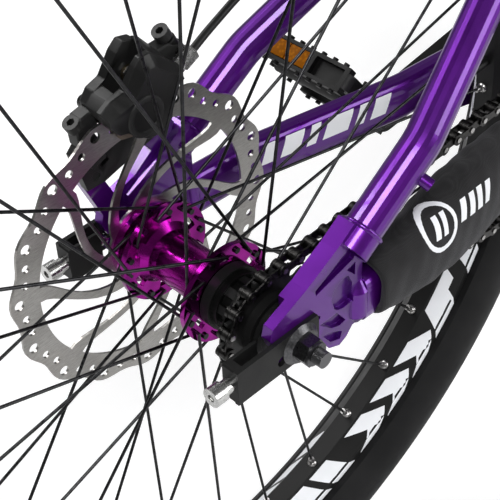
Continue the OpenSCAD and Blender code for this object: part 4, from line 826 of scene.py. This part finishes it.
# ------------------------------------------------------------------ white marks on the left chainstay
stay_tree = tree_of(node["chainstay_left"])
stripe_at, stripe_n = on_surface(stay_tree, POINTS["stay_stripe"])
stripe_u = (along - stripe_n * along.dot(stripe_n)).normalized()
stripe_v = stripe_n.cross(stripe_u)
STRIPES = ((-58, 10), (-42, 16), (-20, 8), (-6, 22), (22, 8), (36, 14))  # start and width of each
stripes = [slab(x, -7.5, w, 15, 5) for x, w in STRIPES]
decal("stay_print", stay_tree, stripe_at, stripe_u, stripe_v, stripes, 0.12, 3.0)

# ------------------------------------------------------------------ marks on the rims
RIM_OUT, RIM_IN = 280, 266  # radii where the wall ends and begins
PRINT_R = (RIM_IN + 1.5, RIM_OUT + 5.4)  # radii that the print covers
BED, RIM_W = 6.8, 18  # half widths of the wall at those radii
PRINT_LIFT, PRINT_SUNK = 0.4, 0.05
ARC_STEP, WALL_STEP = 1.0, 0.26  # longest edges of the print, in degrees and as a share of the wall

# one group of blocks: degrees along the rim, and share of the wall from its inner edge
RIM_UNIT = [
    *[[(u, 0), (u + 4.2, 0), (u + 7.4, 1), (u + 3.2, 1)] for u in (0, 5.6)],
    *[[(u, 0), (u + 4.6, 0), (u + 8, 0.5), (u + 4.6, 1), (u, 1), (u + 3.4, 0.5)] for u in (14.5, 21.5, 28.5)],
    [(39, 0), (47, 0), (45.6, 0.4), (43.6, 0.4), (41.6, 1), (35.6, 1)],
    *[[(u, 0), (u + 4.2, 0), (u + 1, 1), (u - 3.2, 1)] for u in (50, 55.6, 61.2)],
]
RIM_GROUPS = 3


def stepped(shape, step=2):
    """An outline whose sides have points between their ends, at most a step or so apart."""
    out = []
    for k, (u, v) in enumerate(shape):
        u2, v2 = shape[(k + 1) % len(shape)]
        parts = max(1, int(abs(u2 - u) / step))
        out += [(u + (u2 - u) * j / parts, v + (v2 - v) * j / parts) for j in range(parts)]
    return out


def wide(edge):
    a, b = (v.co for v in edge.verts)
    return abs(a.x - b.x) > ARC_STEP or abs(a.y - b.y) > WALL_STEP


def rim_print(name, axle, side, carrier, body, turn):
    """Bold slanted blocks along the rim's wall, on one side, in groups with gaps between."""
    tree = tree_of(node[carrier])
    shapes = [[(turn + group * 360 / RIM_GROUPS + u, v) for u, v in stepped(shape)]
              for group in range(RIM_GROUPS) for shape in RIM_UNIT]
    bm = flat_shapes(shapes, wide)
    out = Vector((0, side, 0))
    for vert in bm.verts:
        a = math.radians(vert.co.x)
        r = mix(*PRINT_R, vert.co.y)
        y = mix(BED, RIM_W, (r - RIM_IN) / (RIM_OUT - RIM_IN))
        p = axle + Vector((r * math.cos(a), side * (y + 3), r * math.sin(a))) * MM
        hit = tree.ray_cast(p, -out, 0.02)[0] or tree.find_nearest(p)[0]
        vert.co = hit + out * PRINT_LIFT * MM
    bmesh.ops.recalc_face_normals(bm, faces=bm.faces)
    thicken(bm, out * (PRINT_SUNK - PRINT_LIFT) * MM)
    made(name, bm, white_mat, body, 30)


rim_print("rear_rim_print_right", REAR, -1, "rear_rim", "rear_wheel", -78)
rim_print("rear_rim_print_left", REAR, 1, "rear_rim", "rear_wheel", -10)
rim_print("front_rim_print_right", FRONT, -1, "front_rim", "front_wheel", 10)
rim_print("front_rim_print_left", FRONT, 1, "front_rim", "front_wheel", 70)

# ------------------------------------------------------------------ nickel domes on the spoke nipples
WELD = 0.01 * MM  # points nearer than this are one point
EYELET = [(0, 3.7), (0.9, 3.7), (1.5, 3.45), (2.2, 2.9), (2.7, 2.3), (2.9, 1.2)]
EYELET_SUNK = 0.6
END_POINTS = 8  # how many points say where each end of a nipple is


def middle(points):
    return sum(points, Vector()) / len(points)


def islands(obj):
    """Point lists of the separate solids in one object's mesh, in the row frame."""
    bm = bmesh.new()
    bm.from_mesh(obj.data)
    bmesh.ops.remove_doubles(bm, verts=bm.verts, dist=WELD / obj.matrix_world.to_scale().x)
    left, out = set(bm.verts), []
    while left:
        front, group = [left.pop()], []
        while front:
            v = front.pop()
            group.append(obj.matrix_world @ v.co)
            for e in v.link_edges:
                o = e.other_vert(v)
                if o in left:
                    left.remove(o)
                    front.append(o)
        out.append(group)
    bm.free()
    return out


def eyelets(name, axle, carrier, body):
    """A dome on each nipple, where it comes out of the rim toward the hub."""
    def radius(p):
        return math.hypot(p.x - axle.x, p.z - axle.z)

    bm = bmesh.new()
    for group in islands(node[carrier]):
        outward = sorted(group, key=radius)
        near_end, far_end = middle(outward[:END_POINTS]), middle(outward[-END_POINTS:])
        way = (near_end - far_end).normalized()
        share = (RIM_IN * MM - radius(near_end)) / (radius(far_end) - radius(near_end))
        base = near_end + (far_end - near_end) * share
        turned_part(bm, base - way * EYELET_SUNK * MM, way, EYELET, 20)
    made(name, bm, nickel, body, 50)


eyelets("rear_eyelets", REAR, "rear_nipples", "rear_wheel")
eyelets("front_eyelets", FRONT, "front_nipples", "front_wheel")

# ------------------------------------------------------------------ pedal reflectors
CRANK_REST, PEDAL_REST = math.radians(-7.4), math.radians(52)
CRANK_L, PEDAL_L, PEDAL_IN, PEDAL_W = 172, 84, 83.5, 92
LENS = (2.6, 20, 13.2)  # thickness, width and height of each half of a reflector
LENS_APART, LENS_EDGE, LENS_SUNK = 10.4, 0.6, 0.6
forth = Vector((math.cos(PEDAL_REST), 0, -math.sin(PEDAL_REST)))
rise = Vector((math.sin(PEDAL_REST), 0, math.cos(PEDAL_REST)))


def block(bm, centre, axes, size, chamfer):
    """A box with broken edges along three axes, sizes in mm."""
    made_box = bmesh.ops.create_cube(bm, size=1)
    for v in made_box["verts"]:
        q = v.co.copy()
        v.co = centre + sum((a * (c * w * MM) for a, c, w in zip(axes, q, size)), Vector())
    edges = {e for v in made_box["verts"] for e in v.link_edges}
    bmesh.ops.bevel(bm, geom=list(edges), offset=chamfer * MM, segments=2, profile=0.6, affect="EDGES")


for side, body in ((1, "left_pedal"), (-1, "right_pedal")):
    arm = Vector((-math.cos(CRANK_REST), 0, math.sin(CRANK_REST))) * side * CRANK_L * MM
    window = at(BB[0], side * (PEDAL_IN + 0.67 * PEDAL_W), BB[1]) + arm
    bm = bmesh.new()
    for end in (-1, 1):
        for half in (-1, 1):
            aside = Vector((0, half * LENS_APART, 0))
            centre = window + (aside + forth * end * (PEDAL_L / 2 - LENS_SUNK)) * MM
            block(bm, centre, (forth, Vector((0, 1, 0)), rise), LENS, LENS_EDGE)
    made("reflectors_left" if side > 0 else "reflectors_right", bm, amber_mat, body, 35)

# ------------------------------------------------------------------ caliper, cast and machined
def loft(bm, rows, chamfer):
    """A block through outlines in x and z, each at its own y, with broken edges."""
    rings = [[bm.verts.new(at(x, y, z)) for x, z in outline] for y, outline in rows]
    n = len(rings[0])
    faces = [bm.faces.new(rings[0]), bm.faces.new(list(reversed(rings[-1])))]
    for low, high in zip(rings, rings[1:]):
        faces += [bm.faces.new((low[j], high[j], high[(j + 1) % n], low[(j + 1) % n])) for j in range(n)]
    edges = {e for f in faces for e in f.edges}
    bmesh.ops.bevel(bm, geom=list(edges), offset=chamfer * MM, segments=1, profile=0.5, affect="EDGES")


# outlines in x and z: the inner half's underside, its face toward the hub and its full ridge,
# the outer half and its end, the two bridges at both their ends, and the bolt ears
UNDER = [(29.5, 108), (21, 106), (18, 87), (9, 81), (0, 82), (-7, 87), (-14, 94), (-19.5, 94.5), (-23, 98)]
SIDE = [(-25, 102), (-25.5, 106), (-19, 108.5), (-8, 110), (2, 122), (5, 126), (9, 126), (12, 123),
        (23, 113), (28, 110)]
RIDGE = [(-27, 104), (-28.5, 111), (-21, 115.5), (-11, 117), (-2, 129), (2, 133), (9, 133), (14, 129),
         (26, 118.5), (31, 114)]
OUTER = [(-24, 99), (-25, 108), (-20, 115), (-11, 118), (-2, 131), (4, 136), (12, 134), (22, 124),
         (27, 113), (19, 92), (9, 83), (-5, 83), (-16, 89)]
OUTER_END = [(-21, 101), (-22, 107), (-18, 111), (-9, 113), (0, 126), (5, 130), (11, 129), (19, 120),
             (24, 111), (17, 94), (8, 86), (-4, 86), (-14, 92)]
FRONT_BRIDGE = ([(10.5, 105), (10.5, 131), (14, 128), (26, 117.5), (30, 111), (21, 105)],
                [(10.5, 105), (10.5, 136), (15, 134), (25, 122), (29, 112), (21, 105)])
REAR_BRIDGE = ([(-27, 104), (-27, 111), (-20, 114.5), (-13.5, 115), (-13.5, 104)],
               [(-25, 104), (-25, 108), (-20, 114.5), (-13.5, 116.5), (-13.5, 104)])
EARS = [[(27, 107), (24, 121), (33, 121.5), (40.5, 118.5), (45, 109.5), (41, 106)],
        [(-35.5, 84.5), (-36.5, 96), (-33, 104), (-24, 106), (-21, 96), (-28, 84)]]
# where those outlines lie in y
INNER_Y, OUTER_Y, BRIDGE_Y, EAR_Y = (38.9, 43.5, 47.5), (59, 66, 69.5), (46, 61), (56.2, 66.4)
CAST_EDGE, EAR_EDGE = 0.5, 0.9
TO_HUB, TO_LEFT = Vector((0, -1, 0)), Vector((0, 1, 0))

bm = bmesh.new()
loft(bm, list(zip(INNER_Y, (SIDE + UNDER, RIDGE + UNDER, RIDGE + UNDER))), 0.45)
loft(bm, list(zip(OUTER_Y, (OUTER, OUTER, OUTER_END))), CAST_EDGE)
for bridge in (FRONT_BRIDGE, REAR_BRIDGE):
    loft(bm, list(zip(BRIDGE_Y, bridge)), CAST_EDGE)
for ear in EARS:
    loft(bm, [(y, ear) for y in EAR_Y], EAR_EDGE)
# piston housings, the outer one first
turned_part(bm, at(-2, 61, 99), TO_LEFT,
            [(0, 15.5), (8.6, 15.5), (9.4, 14.9), (9.4, 12), (8.7, 11.4), (8.7, 0.4)], 48)
turned_part(bm, at(-1, 45, 98), TO_HUB, [(0, 13), (6.4, 13), (7, 12.4), (7, 9.6), (6.3, 9), (6.3, 0.4)], 48)
caliper = made("brake_caliper", bm, black_cast, "frame", 18)
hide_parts("rear_caliper")

# socket bolts over two washers each, and the screws that close the halves
BOLT_WAY = Vector((-5.4, 0, 10.6)).normalized()
BOLT_Y, BOLT_L = 61.2, 12
BOLT_TOPS = ((36.4, 121.9), (-31.0, 89.2))
BOLT = [(0, 6.2), (2.6, 6.2), (2.7, 5.6), (4.4, 5.6), (4.6, 5.1), (6, 4.9), (11.4, 4.9), (BOLT_L, 4.4),
        (BOLT_L, 2.9), (8.6, 2.7), (8.6, 0.3)]
SCREW = [(0, 4.1), (3.4, 4.1), (4, 3.7), (4, 2.2), (2, 2), (2, 0.3)]
SCREW_Y, SCREWS = 66, ((-20.5, 104.5), (20, 100))
bm = bmesh.new()
for x, z in BOLT_TOPS:
    turned_part(bm, at(x, BOLT_Y, z) - BOLT_WAY * BOLT_L * MM, BOLT_WAY, BOLT, 36)
for x, z in SCREWS:
    turned_part(bm, at(x, SCREW_Y, z), TO_LEFT, SCREW, 28)
made("caliper_bolts", bm, black_alloy, "frame", 35)

# pad pin: dark barrel, brass collar, then a steel collar and the spring clip
PIN_X, PIN_Z = 4.6, 115.6
BARREL = [(0, 3.9), (0.6, 4.6), (4.4, 4.6), (4.6, 3.4), (10.6, 3.4), (10.8, 4.0), (17.4, 4.0), (18, 3.4),
          (18, 0.4)]
BRASS = [(0, 4.0), (0.2, 4.9), (3.4, 4.9), (3.6, 4.2)]
STEEL = [(0, 3.6), (0.2, 4.6), (1.6, 4.6), (1.8, 3.6)]
BARREL_Y, BRASS_Y, STEEL_Y, CLIP_Y = 66.5, 61.9, 58, 47.5
CLIP_SIZE, CLIP_WIRE, CLIP_X, CLIP_DROP, CLIP_APART = (4.4, 3.2), 0.75, 1, 6, 3.4
bm = bmesh.new()
turned_part(bm, at(PIN_X, BARREL_Y, PIN_Z), TO_HUB, BARREL, 32)
made("pad_pin", bm, black_alloy, "frame", 35)
bm = bmesh.new()
turned_part(bm, at(PIN_X, BRASS_Y, PIN_Z), TO_HUB, BRASS, 32)
made("pin_collar", bm, brass, "frame", 35)
bm = bmesh.new()
turned_part(bm, at(PIN_X, STEEL_Y, PIN_Z), TO_HUB, STEEL, 6)
for aside in (-CLIP_APART, CLIP_APART):
    x, z = PIN_X - CLIP_X, PIN_Z - CLIP_DROP + aside
    turns = [math.pi * k / 12 for k in range(13)]
    clip = [at(x + CLIP_SIZE[0] * math.cos(a), CLIP_Y - CLIP_SIZE[1] * math.sin(a), z) for a in turns]
    tube_along(bm, clip, CLIP_WIRE * MM, 8)
made("pin_clip", bm, silver, "frame", 35)

# ------------------------------------------------------------------ weld beads of the seatstays
STAY_R = 11.5
BEAD_R, RIPPLE, RIPPLES = 1.45, 0.22, 15
for side in (1, -1):
    foot, way = at(56, side * 72, 45), Vector((50, side * -1, 33))
    d, u, v = axes_on(way)
    rings = []
    for a in around(96):
        out = u * math.cos(a) + v * math.sin(a)
        r = BEAD_R + RIPPLE * abs(math.sin(a * RIPPLES))
        rings.append([foot + (out * (STAY_R + r * math.cos(b)) + d * r * math.sin(b)) * MM
                      for b in around(10)])
    bm = bmesh.new()
    ring_mesh(bm, rings, closed=True, caps=False)
    made("weld_left" if side > 0 else "weld_right", bm, paint_mat, "frame", 180)

# ------------------------------------------------------------------ floor, light
FLOOR_SIZE, FLOOR_Z = 14, -0.0005
FLOOR_GLOW = 0.35  # what only the camera sees, so that the floor meets the white background
WORLD_LIGHT = 0.13  # what the background gives to all but the camera
WHITE = (1, 1, 1, 1)

bm = bmesh.new()
bmesh.ops.create_grid(bm, x_segments=1, y_segments=1, size=FLOOR_SIZE)
floor = added("floor", bm)
floor.location.z = FLOOR_Z
floor_mat = bpy.data.materials.new("floor_pale")
floor_mat.use_nodes = True
tree = floor_mat.node_tree
lay = tree.nodes["Principled BSDF"]
lay.inputs["Base Color"].default_value = (0.86, 0.86, 0.86, 1)
lay.inputs["Roughness"].default_value = 0.9
lay.inputs["Emission Color"].default_value = WHITE
sight = tree.nodes.new("ShaderNodeLightPath")
glow = tree.nodes.new("ShaderNodeMapRange")
glow.inputs["To Max"].default_value = FLOOR_GLOW
tree.links.new(sight.outputs["Is Camera Ray"], glow.inputs["Value"])
tree.links.new(glow.outputs["Result"], lay.inputs["Emission Strength"])
floor.data.materials.append(floor_mat)

world = bpy.data.worlds.new("studio")
bpy.context.scene.world = world
world.use_nodes = True
tree = world.node_tree
sight = tree.nodes.new("ShaderNodeLightPath")
seen = tree.nodes.new("ShaderNodeMath")
seen.operation = "MAXIMUM"
power = tree.nodes.new("ShaderNodeMapRange")
power.inputs["To Min"].default_value = WORLD_LIGHT
back = tree.nodes["Background"]
back.inputs["Color"].default_value = WHITE
tree.links.new(sight.outputs["Is Camera Ray"], seen.inputs[0])
tree.links.new(sight.outputs["Is Transmission Ray"], seen.inputs[1])
tree.links.new(seen.outputs[0], power.inputs["Value"])
tree.links.new(power.outputs["Result"], back.inputs["Strength"])


def softbox(name, place, target, size, watts):
    """A rectangular lamp that faces its target; places and sizes in metres."""
    data = bpy.data.lights.new(name, "AREA")
    data.shape = "RECTANGLE"
    data.size, data.size_y = size
    data.energy = watts
    obj = bpy.data.objects.new(name, data)
    bpy.context.scene.collection.objects.link(obj)
    obj.location = place
    obj.rotation_mode = "QUATERNION"
    obj.rotation_quaternion = (Vector(target) - Vector(place)).to_track_quat("-Z", "Y")


softbox("key", (-2.2, -1.6, 3.2), REAR, (1.4, 1.4), 88)
softbox("strip", (-0.8, 2.2, 2.6), REAR, (2.4, 0.5), 56)
softbox("fill", (1.6, -2.6, 1.6), (0, 0, 0.4), (2, 2), 60)

bpy.context.scene.view_settings.view_transform = "Standard"
